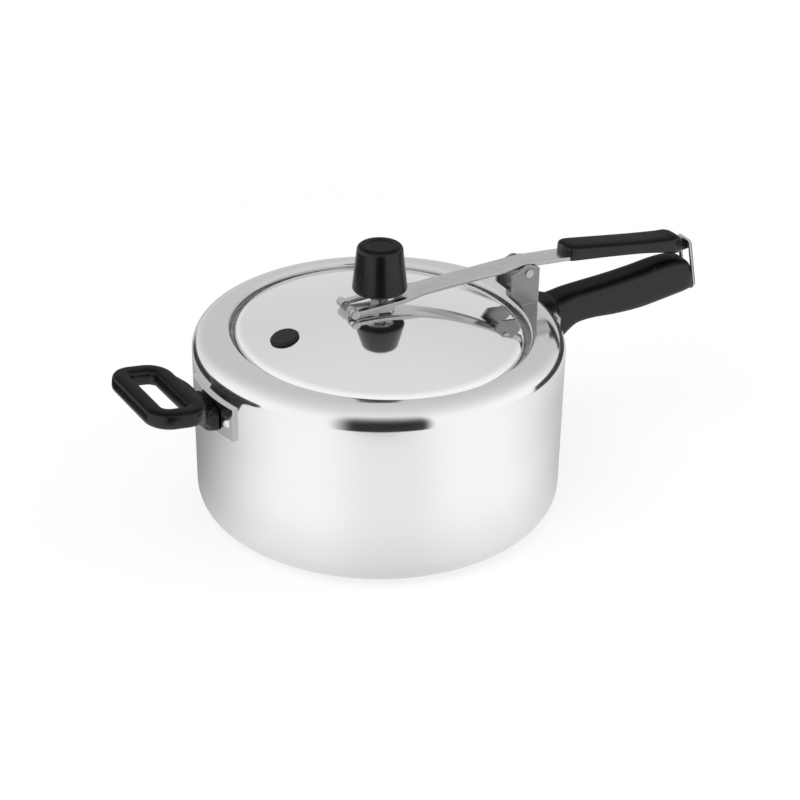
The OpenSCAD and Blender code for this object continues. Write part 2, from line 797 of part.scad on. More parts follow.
// Wire bail hinged in the long handle's lug, standing up and over the grip's nose
module latch_bail() {
    tail = 1;                                 // where the inturned ends stop
    color("silver") translate([bail_x, 0, bail_z]) rotate([0, -bail_lean, 0]) {
        both_sides() {
            cross_pin(wire_radius, tail, bail_half - bail_elbow);
            translate([0, bail_half - bail_elbow, bail_elbow]) rotate([90, 0, 90])
                rotate([0, 0, -90]) rotate_extrude(angle = 90)
                    translate([bail_elbow, 0]) circle(r = wire_radius, $fn = 32);
            translate([0, bail_half, bail_elbow])
                cylinder(r = wire_radius, h = bail_length - 2 * bail_elbow);
            translate([0, bail_half - bail_elbow, bail_length - bail_elbow]) rotate([90, 0, 90])
                rotate_extrude(angle = 90)
                    translate([bail_elbow, 0]) circle(r = wire_radius, $fn = 32);
        }
        translate([0, 0, bail_length])
            cross_pin(wire_radius, bail_elbow - bail_half, bail_half - bail_elbow);
    }
}

// ---------------------------------------------------------------- lid

module lid_shell() {
    color("silver") difference() {
        oval_solid() lid_section();
        translate([0, 0, rim_z])
            cylinder(r = stem_radius + close_fit, h = lid_top + over - rim_z);
        at_plug() cylinder(r = plug_neck + close_fit, h = 4 * lid_thickness, center = true);
    }
}

// Half section of the lid: dome, bead, upright side and gasket flange
module lid_section() {
    difference() {
        union() {
            dome_section(dome_radius, dome_centre, lid_edge, lid_bead, flange_z - lid_thickness);
            translate([0, flange_z - lid_thickness])
                square([flange_edge - lid_thickness / 2, lid_thickness]);
            translate([flange_edge - lid_thickness / 2, flange_z - lid_thickness / 2])
                circle(d = lid_thickness, $fn = 32);
        }
        dome_section(dome_radius - lid_thickness, dome_centre, lid_edge - lid_thickness,
            lid_bead - lid_thickness, flange_z - lid_thickness - over);
    }
}

module lid_gasket() {
    bevel = 0.8;
    inner = lid_edge + close_fit;
    outer = lid_edge + flange_width - 1;
    color("dimgray") oval_solid() polygon([
        [inner, flange_z], [outer - bevel, flange_z], [outer, flange_z + bevel],
        [outer, gasket_top - bevel], [outer - bevel, gasket_top], [inner, gasket_top]
    ]);
}

module pivot_bracket() {
    color("gainsboro") difference() {
        union() {
            translate([eye_x - eye_radius, -lug_outer, lid_top - saddle_skirt])
                cube([saddle_front - eye_x + eye_radius, 2 * lug_outer,
                      saddle_skirt + saddle_thickness]);
            both_sides() {
                translate([eye_x, 0, eye_z])
                    cross_pin(eye_radius, lug_outer - lug_thickness, lug_outer);
                translate([eye_x - eye_radius, lug_outer - lug_thickness, lid_top])
                    cube([2 * eye_radius, lug_thickness, eye_z - lid_top]);
            }
        }
        oval_solid() translate([0, close_fit]) dome_section(dome_radius, dome_centre, lid_edge,
            lid_bead, flange_z);
        translate([eye_x, 0, eye_z])
            cross_pin(eye_pin_radius + close_fit, -fork_width, fork_width);
        translate([0, 0, rim_z])
            cylinder(r = stem_radius + close_fit, h = saddle_top + over - rim_z);
    }
}

module pivot_pins() {
    pin_head = 0.9;
    color("dimgray") both_sides() translate([eye_x, 0, eye_z]) {
        cross_pin(eye_pin_radius, lug_outer - lug_thickness, fork_width / 2 + rest_gap + pin_head);
        cross_pin(eye_radius - 0.5, fork_width / 2 + rest_gap, fork_width / 2 + rest_gap + pin_head);
    }
}

// ---------------------------------------------------------------- vent and weight

module vent_washer() {
    color("dimgray") translate([0, 0, lid_under - seat_sag - washer_height]) difference() {
        cylinder(r = washer_radius, h = washer_height);
        translate([0, 0, -over]) cylinder(r = stem_radius + close_fit, h = washer_height + 2 * over);
    }
}

module vent_pipe() {
    flange_top = lid_under - seat_sag - washer_height;
    nozzle_taper = 3;
    color("silver") difference() {
        union() {
            translate([0, 0, flange_top - vent_flange_height])
                cylinder(r = vent_flange_radius, h = vent_flange_height);
            translate([0, 0, flange_top - vent_flange_height - 2])
                cylinder(r = stem_radius + 1, h = 2);
            translate([0, 0, flange_top]) cylinder(r = stem_radius,
                h = saddle_top + nut_height + 1 - flange_top);
            translate([0, 0, saddle_top + nut_height])
                cylinder(r = nozzle_radius, h = nozzle_top - nozzle_taper - saddle_top - nut_height);
            translate([0, 0, nozzle_top - nozzle_taper])
                cylinder(r1 = nozzle_radius, r2 = vent_bore + 0.9, h = nozzle_taper);
        }
        translate([0, 0, rim_z]) cylinder(r = vent_bore, h = nozzle_top + over - rim_z);
    }
}

module vent_nut() {
    color("gainsboro") translate([0, 0, saddle_top]) difference() {
        cylinder(d = nut_flats / cos(30), h = nut_height, $fn = 6);
        translate([0, 0, -over]) cylinder(r = stem_radius + close_fit, h = nut_height + 2 * over);
    }
}

// Placed on the dome with its axis square to the surface
module at_plug() {
    lean_x = plug_x / (oval * oval);
    height = dome_height(plug_x, plug_y);
    slope = atan(norm([lean_x, plug_y]) / (height - dome_centre));
    translate([plug_x, plug_y, height]) rotate([0, slope, atan2(plug_y, lean_x)])
        translate([0, 0, close_fit]) children();
}

module safety_plug() {
    rim_round = 1.2;
    barb = plug_neck + 1.6;
    color([0.12, 0.12, 0.12]) at_plug() {
        cylinder(r = plug_radius, h = plug_height - rim_round);
        translate([0, 0, plug_height - rim_round])
            cylinder(r1 = plug_radius, r2 = plug_radius - rim_round, h = rim_round);
        translate([0, 0, -lid_thickness - 0.5]) cylinder(r = plug_neck, h = lid_thickness + 1);
        translate([0, 0, -lid_thickness - 4])
            cylinder(r1 = plug_neck - 1, r2 = barb, h = 3.5);
    }
}

module weight_core() {
    needle = 2;
    seat_z = nozzle_top + rest_gap;
    color("silver") difference() {
        translate([0, 0, core_foot]) cylinder(r = core_radius, h = core_height);
        difference() {
            translate([0, 0, core_foot - over])
                cylinder(r = nozzle_radius + 0.8, h = seat_z - core_foot + over);
            translate([0, 0, seat_z - needle])
                cylinder(r1 = 0.3, r2 = vent_bore - 0.3, h = needle + over);
        }
    }
}

module weight_cover() {
    crown_round = 3.5;
    foot_bevel = 1.2;
    side = weight_height - crown_round - foot_bevel;
    crown = weight_crown_radius;
    color([0.09, 0.09, 0.09]) translate([0, 0, weight_foot]) difference() {
        union() {
            cylinder(r1 = weight_foot_radius - foot_bevel / 2, r2 = weight_foot_radius, h = foot_bevel);
            translate([0, 0, foot_bevel]) cylinder(r1 = weight_foot_radius, r2 = crown, h = side);
            translate([0, 0, foot_bevel + side]) rotate_extrude() {
                square([crown - crown_round, crown_round]);
                intersection() {
                    translate([crown - crown_round, 0]) circle(r = crown_round, $fn = 48);
                    square([crown, crown_round]);
                }
            }
        }
        translate([0, 0, -over]) cylinder(r = core_radius + slip,
            h = over + core_foot - weight_foot + core_height + slip);
    }
}

// ---------------------------------------------------------------- assembly

pot_body();
fulcrum_bracket();
fulcrum_rivets();
fulcrum_pin();
handle_bracket();
handle_rivets();
long_handle();
handle_screws();
helper_bracket();
helper_rivets();
helper_handle();
helper_screw();
lever_strap();
lever_grip();
grip_screws();
latch_bail();
lid_shell();
lid_gasket();
pivot_bracket();
pivot_pins();
vent_pipe();
vent_washer();
vent_nut();
safety_plug();
weight_core();
weight_cover();
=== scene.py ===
"""Stovetop pressure cooker: smooth visual pieces, finishes, studio and camera, in metres."""

import logging
import math
from collections.abc import Callable, Sequence
from dataclasses import dataclass
from enum import Enum

import bmesh
import bpy
from mathutils import Matrix, Vector


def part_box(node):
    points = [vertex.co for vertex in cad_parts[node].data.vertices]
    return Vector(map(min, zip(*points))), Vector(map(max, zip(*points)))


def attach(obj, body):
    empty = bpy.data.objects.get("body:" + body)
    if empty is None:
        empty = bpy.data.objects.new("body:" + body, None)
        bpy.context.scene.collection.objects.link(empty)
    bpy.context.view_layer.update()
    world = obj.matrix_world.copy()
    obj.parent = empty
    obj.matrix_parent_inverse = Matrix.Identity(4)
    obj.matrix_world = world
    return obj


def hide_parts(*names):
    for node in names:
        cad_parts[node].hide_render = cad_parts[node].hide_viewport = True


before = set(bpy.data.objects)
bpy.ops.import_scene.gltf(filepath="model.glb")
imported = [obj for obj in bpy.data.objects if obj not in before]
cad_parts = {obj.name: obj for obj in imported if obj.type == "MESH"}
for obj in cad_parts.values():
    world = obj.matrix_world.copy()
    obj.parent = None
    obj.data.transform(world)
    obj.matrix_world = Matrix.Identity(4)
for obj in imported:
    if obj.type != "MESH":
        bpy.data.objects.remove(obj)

logging.basicConfig(level=logging.INFO, format="%(levelname)s %(message)s")
LOG = logging.getLogger("cooker")

MM = 0.001

# Radius and height of a screw's head, and radii of its well and of the bail's wire.
SCREW_HEAD = 3.4 * MM
HEAD_HEIGHT = 2.4 * MM
WELL = 3.5 * MM
WIRE = 1.2 * MM

# How far a mould seam stands out.
SEAM = 0.12 * MM

# Where the strap's underside bends, along X and up, and its slope from there to the grip.
FULCRUM = (98 * MM, 141.8 * MM)
FALL = math.tan(math.radians(1.5))

# The colour sockets of a Mix node.
FIRST_COLOUR = 6
SECOND_COLOUR = 7

Point = tuple[float, float]
Station = tuple[float, float, float, float]
Inputs = dict[str | int, object]


class Body(Enum):
    """The moving bodies of the cooker."""

    POT = "pot"
    LEVER = "lever"
    LID = "lid"
    WEIGHT = "weight"


class Slot(Enum):
    """The material slots of the part's record."""

    POLISHED = "polished_aluminium"
    LID = "lid_aluminium"
    STEEL = "bright_steel"
    RIVET = "rivet_aluminium"
    ZINC = "zinc_steel"
    PHENOLIC = "black_phenolic"
    BLACK_RUBBER = "black_rubber"
    GREY_RUBBER = "grey_rubber"


# ------------------------------------------------------------------ shader graphs


class Wire:
    """A shader value that can be written in sums, products and powers."""

    def __init__(self, graph: "Graph", socket: bpy.types.NodeSocket) -> None:
        """Keeps the graph and the socket."""
        self.graph = graph
        self.socket = socket

    def _math(self, operation: str, *values: object) -> "Wire":
        """Adds one Math node and gives its result."""
        inputs = dict(enumerate(values))
        return self.graph.add("ShaderNodeMath", {"operation": operation}, inputs)

    def __add__(self, other: object) -> "Wire":
        """Sum."""
        return self._math("ADD", self, other)

    def __radd__(self, other: object) -> "Wire":
        """Sum, with the wire on the right."""
        return self._math("ADD", other, self)

    def __sub__(self, other: object) -> "Wire":
        """Difference."""
        return self._math("SUBTRACT", self, other)

    def __rsub__(self, other: object) -> "Wire":
        """Difference, with the wire on the right."""
        return self._math("SUBTRACT", other, self)

    def __mul__(self, other: object) -> "Wire":
        """Product."""
        return self._math("MULTIPLY", self, other)

    def __rmul__(self, other: object) -> "Wire":
        """Product, with the wire on the right."""
        return self._math("MULTIPLY", other, self)

    def __truediv__(self, other: object) -> "Wire":
        """Quotient."""
        return self._math("DIVIDE", self, other)

    def __rtruediv__(self, other: object) -> "Wire":
        """Quotient, with the wire on the right."""
        return self._math("DIVIDE", other, self)

    def __pow__(self, other: object) -> "Wire":
        """Power."""
        return self._math("POWER", self, other)

    def __rpow__(self, other: object) -> "Wire":
        """Power, with the wire as the exponent."""
        return self._math("POWER", other, self)

    def __abs__(self) -> "Wire":
        """Size without sign."""
        return self._math("ABSOLUTE", self)

    def root(self) -> "Wire":
        """Square root."""
        return self._math("SQRT", self)

    def ramp(self, low: float, high: float) -> "Wire":
        """Rises smoothly from 0 to 1.

        Args:
            low: Where the rise starts.
            high: Where it ends; it may be the smaller one.

        Returns:
            The share risen.
        """
        settings = {"interpolation_type": "SMOOTHSTEP"}
        inputs = {"Value": self, "From Min": low, "From Max": high}
        return self.graph.add("ShaderNodeMapRange", settings, inputs)


class Graph:
    """The node tree of one material or world."""

    def __init__(self, owner: bpy.types.Material | bpy.types.World) -> None:
        """Empties the owner's node tree.

        Args:
            owner: The material or world that the graph belongs to.
        """
        owner.use_nodes = True
        self.owner = owner
        self.tree = owner.node_tree
        self.tree.nodes.clear()

    def node(
        self, kind: str, settings: dict[str, object] | None = None, inputs: Inputs | None = None
    ) -> bpy.types.Node:
        """Adds a node.

        Args:
            kind: The node's type.
            settings: Its own attributes, which are set before its sockets.
            inputs: A value, wire or socket for each socket named or numbered.

        Returns:
            The node.
        """
        made = self.tree.nodes.new(kind)
        for name, value in (settings or {}).items():
            setattr(made, name, value)
        for key, value in (inputs or {}).items():
            if isinstance(value, Wire):
                value = value.socket
            if isinstance(value, bpy.types.NodeSocket):
                self.tree.links.new(value, made.inputs[key])
            else:
                made.inputs[key].default_value = value
        return made

    def add(
        self, kind: str, settings: dict[str, object] | None = None, inputs: Inputs | None = None
    ) -> Wire:
        """Adds a node, as `node` does, and gives its first output in use.

        Args:
            kind: The node's type.
            settings: Its own attributes.
            inputs: What its sockets get.

        Returns:
            The output.
        """
        made = self.node(kind, settings, inputs)
        shown = [s for s in made.outputs if s.enabled]
        return Wire(self, shown[0])

    def place(self) -> tuple[Wire, Wire, Wire]:
        """Finds the surface point in the object's own frame.

        Returns:
            Its x, y and z in metres.
        """
        coords = self.node("ShaderNodeTexCoord").outputs["Object"]
        parts = self.node("ShaderNodeSeparateXYZ", None, {0: coords})
        return tuple(Wire(self, s) for s in parts.outputs)

    def vector(self, x: object, y: object, z: object) -> Wire:
        """Joins three values into a vector."""
        return self.add("ShaderNodeCombineXYZ", None, {0: x, 1: y, 2: z})

    def noise(self, at: Wire, scale: float, detail: float = 2.0, roughness: float = 0.5) -> Wire:
        """Adds fractal noise at a place, with `scale` features to the unit."""
        inputs = {"Vector": at, "Scale": scale, "Detail": detail, "Roughness": roughness}
        return self.add("ShaderNodeTexNoise", None, inputs)

    def blend(self, share: Wire, first: object, second: object) -> Wire:
        """Mixes two colours or wires by a share of the second one, from 0 to 1."""
        inputs = {0: share, FIRST_COLOUR: first, SECOND_COLOUR: second}
        return self.add("ShaderNodeMix", {"data_type": "RGBA"}, inputs)

    def bump(self, height: Wire, distance: float) -> Wire:
        """Turns a height from 0 to 1 into a surface normal."""
        return self.add("ShaderNodeBump", None, {"Height": height, "Distance": distance})

    def upward(self) -> Wire:
        """Gives how far the surface faces up: 1 on tops, 0 on walls, -1 on undersides."""
        facing = self.node("ShaderNodeNewGeometry").outputs["Normal"]
        return Wire(self, self.node("ShaderNodeSeparateXYZ", None, {0: facing}).outputs["Z"])

    def edges(self, radius: float) -> Wire:
        """Finds sharp outer and inner edges.

        Args:
            radius: How far from an edge its wear reaches.

        Returns:
            radius: How far from an edge its wear and painted highlight reach.
        """
        soft = self.add("ShaderNodeBevel", {"samples": 4}, {"Radius": radius})
        flat = Wire(self, self.node("ShaderNodeNewGeometry").outputs["Normal"])
        agree = self.node("ShaderNodeVectorMath", {"operation": "DOT_PRODUCT"}, {0: soft, 1: flat})
        return (1.0 - Wire(self, agree.outputs["Value"])).ramp(0.01, 0.2)

    def hairlines(self, at: Wire, scale: float, width: float) -> Wire:
        """Gives 1 on thin wandering scratches and 0 between them."""
        return 1.0 - abs(self.noise(at, scale, 1.0) - 0.5).ramp(0.0, width)

    def larger(self, first: Wire, second: Wire) -> Wire:
        """Gives the larger of two shares."""
        return self.add("ShaderNodeMath", {"operation": "MAXIMUM"}, {0: first, 1: second})

    def bearing(self, x: Wire, y: Wire) -> Wire:
        """Gives a point's bearing round Z from +X, in degrees from -180 to 180."""
        turn = self.add("ShaderNodeMath", {"operation": "ARCTAN2"}, {0: y, 1: x})
        return turn * (180.0 / math.pi)

    def principled(self, inputs: Inputs) -> Wire:
        """Adds a Principled shader."""
        return self.add("ShaderNodeBsdfPrincipled", None, inputs)

    def glow(self, colour: object) -> Wire:
        """Adds a shader that shows a colour as it is."""
        return self.add("ShaderNodeEmission", None, {"Color": colour, "Strength": 1.0})

    def mixed(self, share: object, first: Wire, second: Wire) -> Wire:
        """Mixes two shaders by a share from 0 to 1."""
        return self.add("ShaderNodeMixShader", None, {0: share, 1: first, 2: second})

    def surface(self, shader: Wire) -> None:
        """Joins a shader to the output."""
        kind = "World" if isinstance(self.owner, bpy.types.World) else "Material"
        self.node(f"ShaderNodeOutput{kind}", None, {"Surface": shader})


def grey(value: float) -> tuple[float, float, float, float]:
    """Neutral colour of one brightness."""
    return (value, value, value, 1.0)


# ------------------------------------------------------------------ finishes


@dataclass(frozen=True)
class Finish:
    """What every finish has."""

    name: str
    colour: float
    roughness: float

    def build(self) -> bpy.types.Material:
        """Makes the material.

        Returns:
            The material.
        """
        g = Graph(bpy.data.materials.new(self.name))
        g.surface(self.shader(g))
        return g.owner

    def shader(self, g: Graph) -> Wire:
        """Gives the shader, which each finish draws in its own way."""
        raise NotImplementedError


@dataclass(frozen=True)
class SpunMetal(Finish):
    """Aluminium turned on a lathe: a polish over fine rings round the Z axis, smudges and hairlines.

    The heights of the shaded top, if set, darken the top, and all that lies within its radii, with painted
    shade.
    The heights of the bright band, if set, lift the colour below them as a painted highlight.
    """

    groove: float = 0.35 * MM
    groove_depth: float = 0.003 * MM
    haze: float = 0.1
    haze_roughness: float = 0.42
    shaded_top_low: float = 0.0
    shaded_top_high: float = 0.0
    shaded_top_colour: float = 0.0
    shaded_top_radii: Point = (101 * MM, 104 * MM)
    painted_highlight_high: float = 0.0
    painted_highlight_low: float = 0.0
    painted_highlight_colour: float = 0.96
    wear_and_highlight_colour: float = 0.97

    def shader(self, g: Graph) -> Wire:
        """Draws the finish.

        Args:
            g: The material's graph.

        Returns:
            The shader.
        """
        x, y, z = g.place()
        radius = (x * x + y * y).root()
        along = (z - radius) / self.groove
        rings = g.noise(g.vector(x * 12.0, y * 12.0, along), 1.0, 2.0, 0.6)
        coarse = g.noise(g.vector(x * 5.0, y * 5.0, along * 0.13), 1.0, 3.0)
        at = g.vector(x, y, z)
        smudge = g.noise(at, 28.0, 4.0, 0.6)
        cloud = g.noise(at, 9.0, 2.0)
        scratch = g.hairlines(at, 55.0, 0.006) * g.noise(at, 40.0, 1.0).ramp(0.52, 0.7)
        wear_and_highlight = g.edges(0.6 * MM)
        dull = g.blend(cloud.ramp(0.3, 0.75), grey(self.colour * 0.965), grey(self.colour))
        # Painted shade: the top, and all within the given radii, get a darker grey.
        if self.shaded_top_high > 0.0:
            top = z.ramp(self.shaded_top_low, self.shaded_top_high)
            shaded_top = g.larger(top, 1.0 - radius.ramp(*self.shaded_top_radii))
            dull = g.blend(shaded_top, dull, grey(self.shaded_top_colour))
        # Painted highlight: below the given heights the colour is lifted to a near-white grey.
        if self.painted_highlight_high > 0.0:
            dull = g.blend(z.ramp(self.painted_highlight_high, self.painted_highlight_low), dull, grey(self.painted_highlight_colour))
        # Edges lighter, partly from wear and partly as a painted highlight.
        colour = g.blend(wear_and_highlight * 0.6, dull, grey(self.wear_and_highlight_colour))
        rough = self.roughness + (smudge - 0.5) * 0.06 + (rings - 0.5) * 0.04
        rough = rough + scratch * 0.08 - wear_and_highlight * 0.04
        normal = g.bump(rings * 0.6 + coarse * 0.6 - scratch * 0.5, self.groove_depth)
        base = {"Base Color": colour, "Metallic": 1.0, "Anisotropic Rotation": 0.25, "Normal": normal}
        polish = g.principled({**base, "Roughness": rough, "Anisotropic": 0.3})
        haze = g.principled({**base, "Roughness": self.haze_roughness, "Anisotropic": 0.92})
        return g.mixed(self.haze, polish, haze)


@dataclass(frozen=True)
class DrawnMetal(Finish):
    """Sheet or wire metal with fine lines along X, edges lighter from wear and a painted highlight, small
    pits and painted light on the undersides.
    """

    line: float = 0.25 * MM
    line_depth: float = 0.003 * MM
    # Grey of the painted light on the undersides, if set.
    under: float = 0.0
    wear_and_highlight_colour: float = 0.95

    def shader(self, g: Graph) -> Wire:
        """Draws the finish.

        Args:
            g: The material's graph.

        Returns:
            The shader.
        """
        x, y, z = g.place()
        lines = g.noise(g.vector(x * 60.0, y / self.line, z / self.line), 1.0, 2.0, 0.6)
        at = g.vector(x, y, z)
        smudge = g.noise(at, 90.0, 3.0, 0.6)
        pits = g.noise(at, 1400.0, 1.0).ramp(0.7, 0.8)
        wear_and_highlight = g.edges(0.45 * MM)
        body = g.blend(smudge.ramp(0.3, 0.75), grey(self.colour * 0.9), grey(self.colour))
        # Painted light: surfaces facing down get a much lighter grey.
        if self.under > 0.0:
            down = g.upward() * -1.0
            body = g.blend(down.ramp(0.2, 0.7), body, grey(self.under))
        # Edges lighter, partly from wear and partly as a painted highlight.
        colour = g.blend(wear_and_highlight * 0.7, body, grey(self.wear_and_highlight_colour))
        rough = self.roughness + (smudge - 0.5) * 0.12 + (lines - 0.5) * 0.08 + pits * 0.1
        inputs = {
            "Base Color": colour,
            "Metallic": 1.0,
            "Roughness": rough,
            "Normal": g.bump(lines - pits * 0.4, self.line_depth),
        }
        return g.principled(inputs)


@dataclass(frozen=True)
class Moulded(Finish):
    """Black moulding compound or rubber: faint mottling, moulded grain, edges lighter from rubbing and a
    painted highlight, polished flanks.

    `dusty` is how much brighter than the colour its dust is, and the edge value how much brighter its
    edges are, from wear and a painted highlight.
    """

    grain: float = 0.5 * MM
    grain_depth: float = 0.012 * MM
    gloss: float = 0.0
    gloss_roughness: float = 0.25
    shine: float = 0.05
    dusty: float = 0.09
    rubbed_and_highlit: float = 0.03

    def shader(self, g: Graph) -> Wire:
        """Draws the finish.

        Args:
            g: The material's graph.

        Returns:
            The shader.
        """
        at = g.vector(*g.place())
        mottle = g.noise(at, 160.0, 4.0, 0.65)
        grain = g.noise(at, 1.0 / self.grain, 2.0, 0.55)
        waves = g.noise(at, 70.0, 2.0)
        dust = g.noise(at, 2300.0, 1.0).ramp(0.74, 0.8)
        scratch = g.hairlines(at, 80.0, 0.008) * g.noise(at, 50.0, 1.0).ramp(0.55, 0.7)
        wear_and_highlight = g.edges(0.8 * MM) * mottle.ramp(0.35, 0.6)
        body = g.blend(mottle.ramp(0.3, 0.7), grey(self.colour * 0.75), grey(self.colour * 1.25))
        marked = g.blend(dust * 0.25 + scratch * 0.2, body, grey(self.colour + self.dusty))
        # Edges lighter, partly from wear and partly as a painted highlight.
        colour = g.blend(wear_and_highlight * 0.5, marked, grey(self.colour + self.rubbed_and_highlit))
        rough = self.roughness + (mottle - 0.5) * 0.14 + (grain - 0.5) * 0.06
        rough = rough + scratch * 0.12 + wear_and_highlight * 0.05
        height = grain * 0.5 + waves * 2.0 - scratch * 0.3
        inputs = {
            "Base Color": colour,
            "Roughness": rough,
            "Specular IOR Level": self.shine,
            "Coat Weight": (1.0 - abs(g.upward()).ramp(0.35, 0.85)) * self.gloss,
            "Coat Roughness": self.gloss_roughness,
            "Normal": g.bump(height, self.grain_depth),
        }
        return g.principled(inputs)


FINISHES = {
    Slot.POLISHED: SpunMetal(
        "polished_wall",
        0.93,
        0.1,
        haze=0.07,
        # Painted shade on the pot's top and round its opening.
        shaded_top_low=112 * MM,
        shaded_top_high=117.8 * MM,
        shaded_top_colour=0.64,
    ),
    Slot.LID: SpunMetal(
        "polished_lid",
        0.79,
        0.06,
        groove=0.3 * MM,
        groove_depth=0.0015 * MM,
        haze=0.03,
        # Painted highlight on the lid's bead.
        painted_highlight_high=117.0 * MM,
        painted_highlight_low=115.6 * MM,
    ),
    # Painted light on the strap's undersides.
    Slot.STEEL: DrawnMetal("bright_steel_sheet", 0.5, 0.22, under=0.92),
    Slot.RIVET: DrawnMetal("rivet_metal", 0.85, 0.2),
    Slot.ZINC: DrawnMetal("zinc_plate", 0.55, 0.3, line=0.5 * MM),
    Slot.PHENOLIC: Moulded("black_moulding", 0.004, 0.42, gloss=0.75),
    Slot.BLACK_RUBBER: Moulded("black_rubber_skin", 0.012, 0.6, grain=0.8 * MM, shine=0.2),
    Slot.GREY_RUBBER: Moulded("grey_rubber_skin", 0.16, 0.62, grain=0.8 * MM, shine=0.3, rubbed_and_highlit=0.1),
}

OWN_FINISHES = {
    "fulcrum_bracket": DrawnMetal("bracket_steel", 0.28, 0.3),
    "helper_bracket": SpunMetal("helper_plate_steel", 0.6, 0.14),
    "lid_gasket": Moulded("gasket_rubber_skin", 0.3, 0.6, grain=0.8 * MM, shine=0.3, rubbed_and_highlit=0.08),
    "handle_bracket": DrawnMetal("handle_plate_steel", 0.5, 0.3),
}


# ------------------------------------------------------------------ shaping


def arc(centre: Point, radius: float, start: float, end: float, steps: int) -> list[Point]:
    """Sets points on an arc.

    Args:
        centre: The arc's centre.
        radius: Its radius.
        start: The angle of its first point, in degrees.
        end: The angle of its last point.
        steps: Pieces that it is made of.

    Returns:
        The points.
    """
    turns = [math.radians(start + (end - start) * i / steps) for i in range(steps + 1)]
    return [(centre[0] + radius * math.cos(t), centre[1] + radius * math.sin(t)) for t in turns]


def rounded(corners: Sequence[tuple[float, float, float]], steps: int) -> list[Point]:
    """Rounds the corners of an open outline.

    Args:
        corners: Each corner's two coordinates and its bend radius.
        steps: Pieces that each bend is made of.

    Returns:
        The outline, with a holding point close to both ends of each bend.
    """
    points: list[Point] = []
    for i, (u, v, bend) in enumerate(corners):
        here = Vector((u, v))
        if bend <= 0.0 or i in (0, len(corners) - 1):
            points.append((u, v))
            continue
        back = (Vector(corners[i - 1][:2]) - here).normalized()
        on = (Vector(corners[i + 1][:2]) - here).normalized()
        half = back.angle(on) / 2
        reach = bend / math.tan(half)
        centre = here + (back + on).normalized() * (bend / math.sin(half))
        first = here + back * reach - centre
        turn = math.pi - 2 * half
        if first.x * (on.y - back.y) - first.y * (on.x - back.x) < 0:
            turn = -turn
        hold = min(0.3 * bend, 0.4 * MM)
        points.append(tuple(here + back * (reach + hold)))
        for k in range(steps + 1):
            spot = centre + Matrix.Rotation(turn * k / steps, 2) @ first
            points.append((spot.x, spot.y))
        points.append(tuple(here + on * (reach + hold)))
    return points


def between(p: float, q: float, r: float, s: float, t: float) -> float:
    """Gives the value at a share of the way from q to r, on a smooth curve through four values.

    Args:
        p: The value before q.
        q: Where the way starts.
        r: Where it ends.
        s: The value behind r.
        t: The share, from 0 to 1.

    Returns:
        The value.
    """
    bend = 2 * p - 5 * q + 4 * r - s
    twist = 3 * q - p - 3 * r + s
    return 0.5 * (2 * q + (r - p) * t + bend * t * t + twist * t**3)


def smooth_path(stations: Sequence[Station], steps: int) -> list[Station]:
    """Draws a smooth curve through stations.

    Args:
        stations: The stations, in order.
        steps: Rings to each interval.

    Returns:
        The stations of all rings.
    """
    path = []
    last = len(stations) - 1
    for i in range(last):
        a, b = stations[max(i - 1, 0)], stations[i]
        c, d = stations[i + 1], stations[min(i + 2, last)]
        for k in range(steps):
            t = k / steps
            path.append(tuple(between(*values, t) for values in zip(a, b, c, d)))
    path.append(tuple(stations[last]))
    return path


def soft_square(width: float, height: float, count: int, squareness: float) -> list[Point]:
    """Sets points round a rectangle with softened corners.

    Args:
        width: Its width.
        height: Its height.
        count: The number of points, evenly turned about its middle.
        squareness: 2 for an oval, and more the squarer it is.

    Returns:
        The points.
    """
    points = []
    for k in range(count):
        t = 2 * math.pi * k / count
        c, s = math.cos(t), math.sin(t)
        reach = (abs(c) ** squareness + abs(s) ** squareness) ** (-1 / squareness)
        points.append((width / 2 * c * reach, height / 2 * s * reach))
    return points


def bar_rings(stations: Sequence[Station]) -> list[list[Vector]]:
    """Draws a moulded bar's rings, with a faint seam along both sides.

    Args:
        stations: Where the bar is along X, and its low, high and half width there.

    Returns:
        The rings' points.
    """
    rings = []
    for x, low, high, half in smooth_path(stations, 6):
        points = soft_square(2 * half, high - low, 64, 4.0)
        ring = [Vector((x, y, (low + high) / 2 + z)) for y, z in points]
        ring[0].y += SEAM
        ring[len(ring) // 2].y -= SEAM
        rings.append(ring)
    return rings


def put_in(name: str, data: bpy.types.ID) -> bpy.types.Object:
    """Puts an object into the scene.

    Args:
        name: Its name.
        data: Its mesh, lamp or camera.

    Returns:
        The object.
    """
    made = bpy.data.objects.new(name, data)
    bpy.context.scene.collection.objects.link(made)
    return made


def edges_of(verts: Sequence[bmesh.types.BMVert]) -> list[bmesh.types.BMEdge]:
    """Gives the edges that meet at the points, each once and in the same order each run."""
    return list(dict.fromkeys(edge for vert in verts for edge in vert.link_edges))


def is_sharp(edge: bmesh.types.BMEdge, angle: float) -> bool:
    """Tells whether an edge joins two faces at more than an angle in radians."""
    return len(edge.link_faces) == 2 and edge.calc_face_angle() > angle


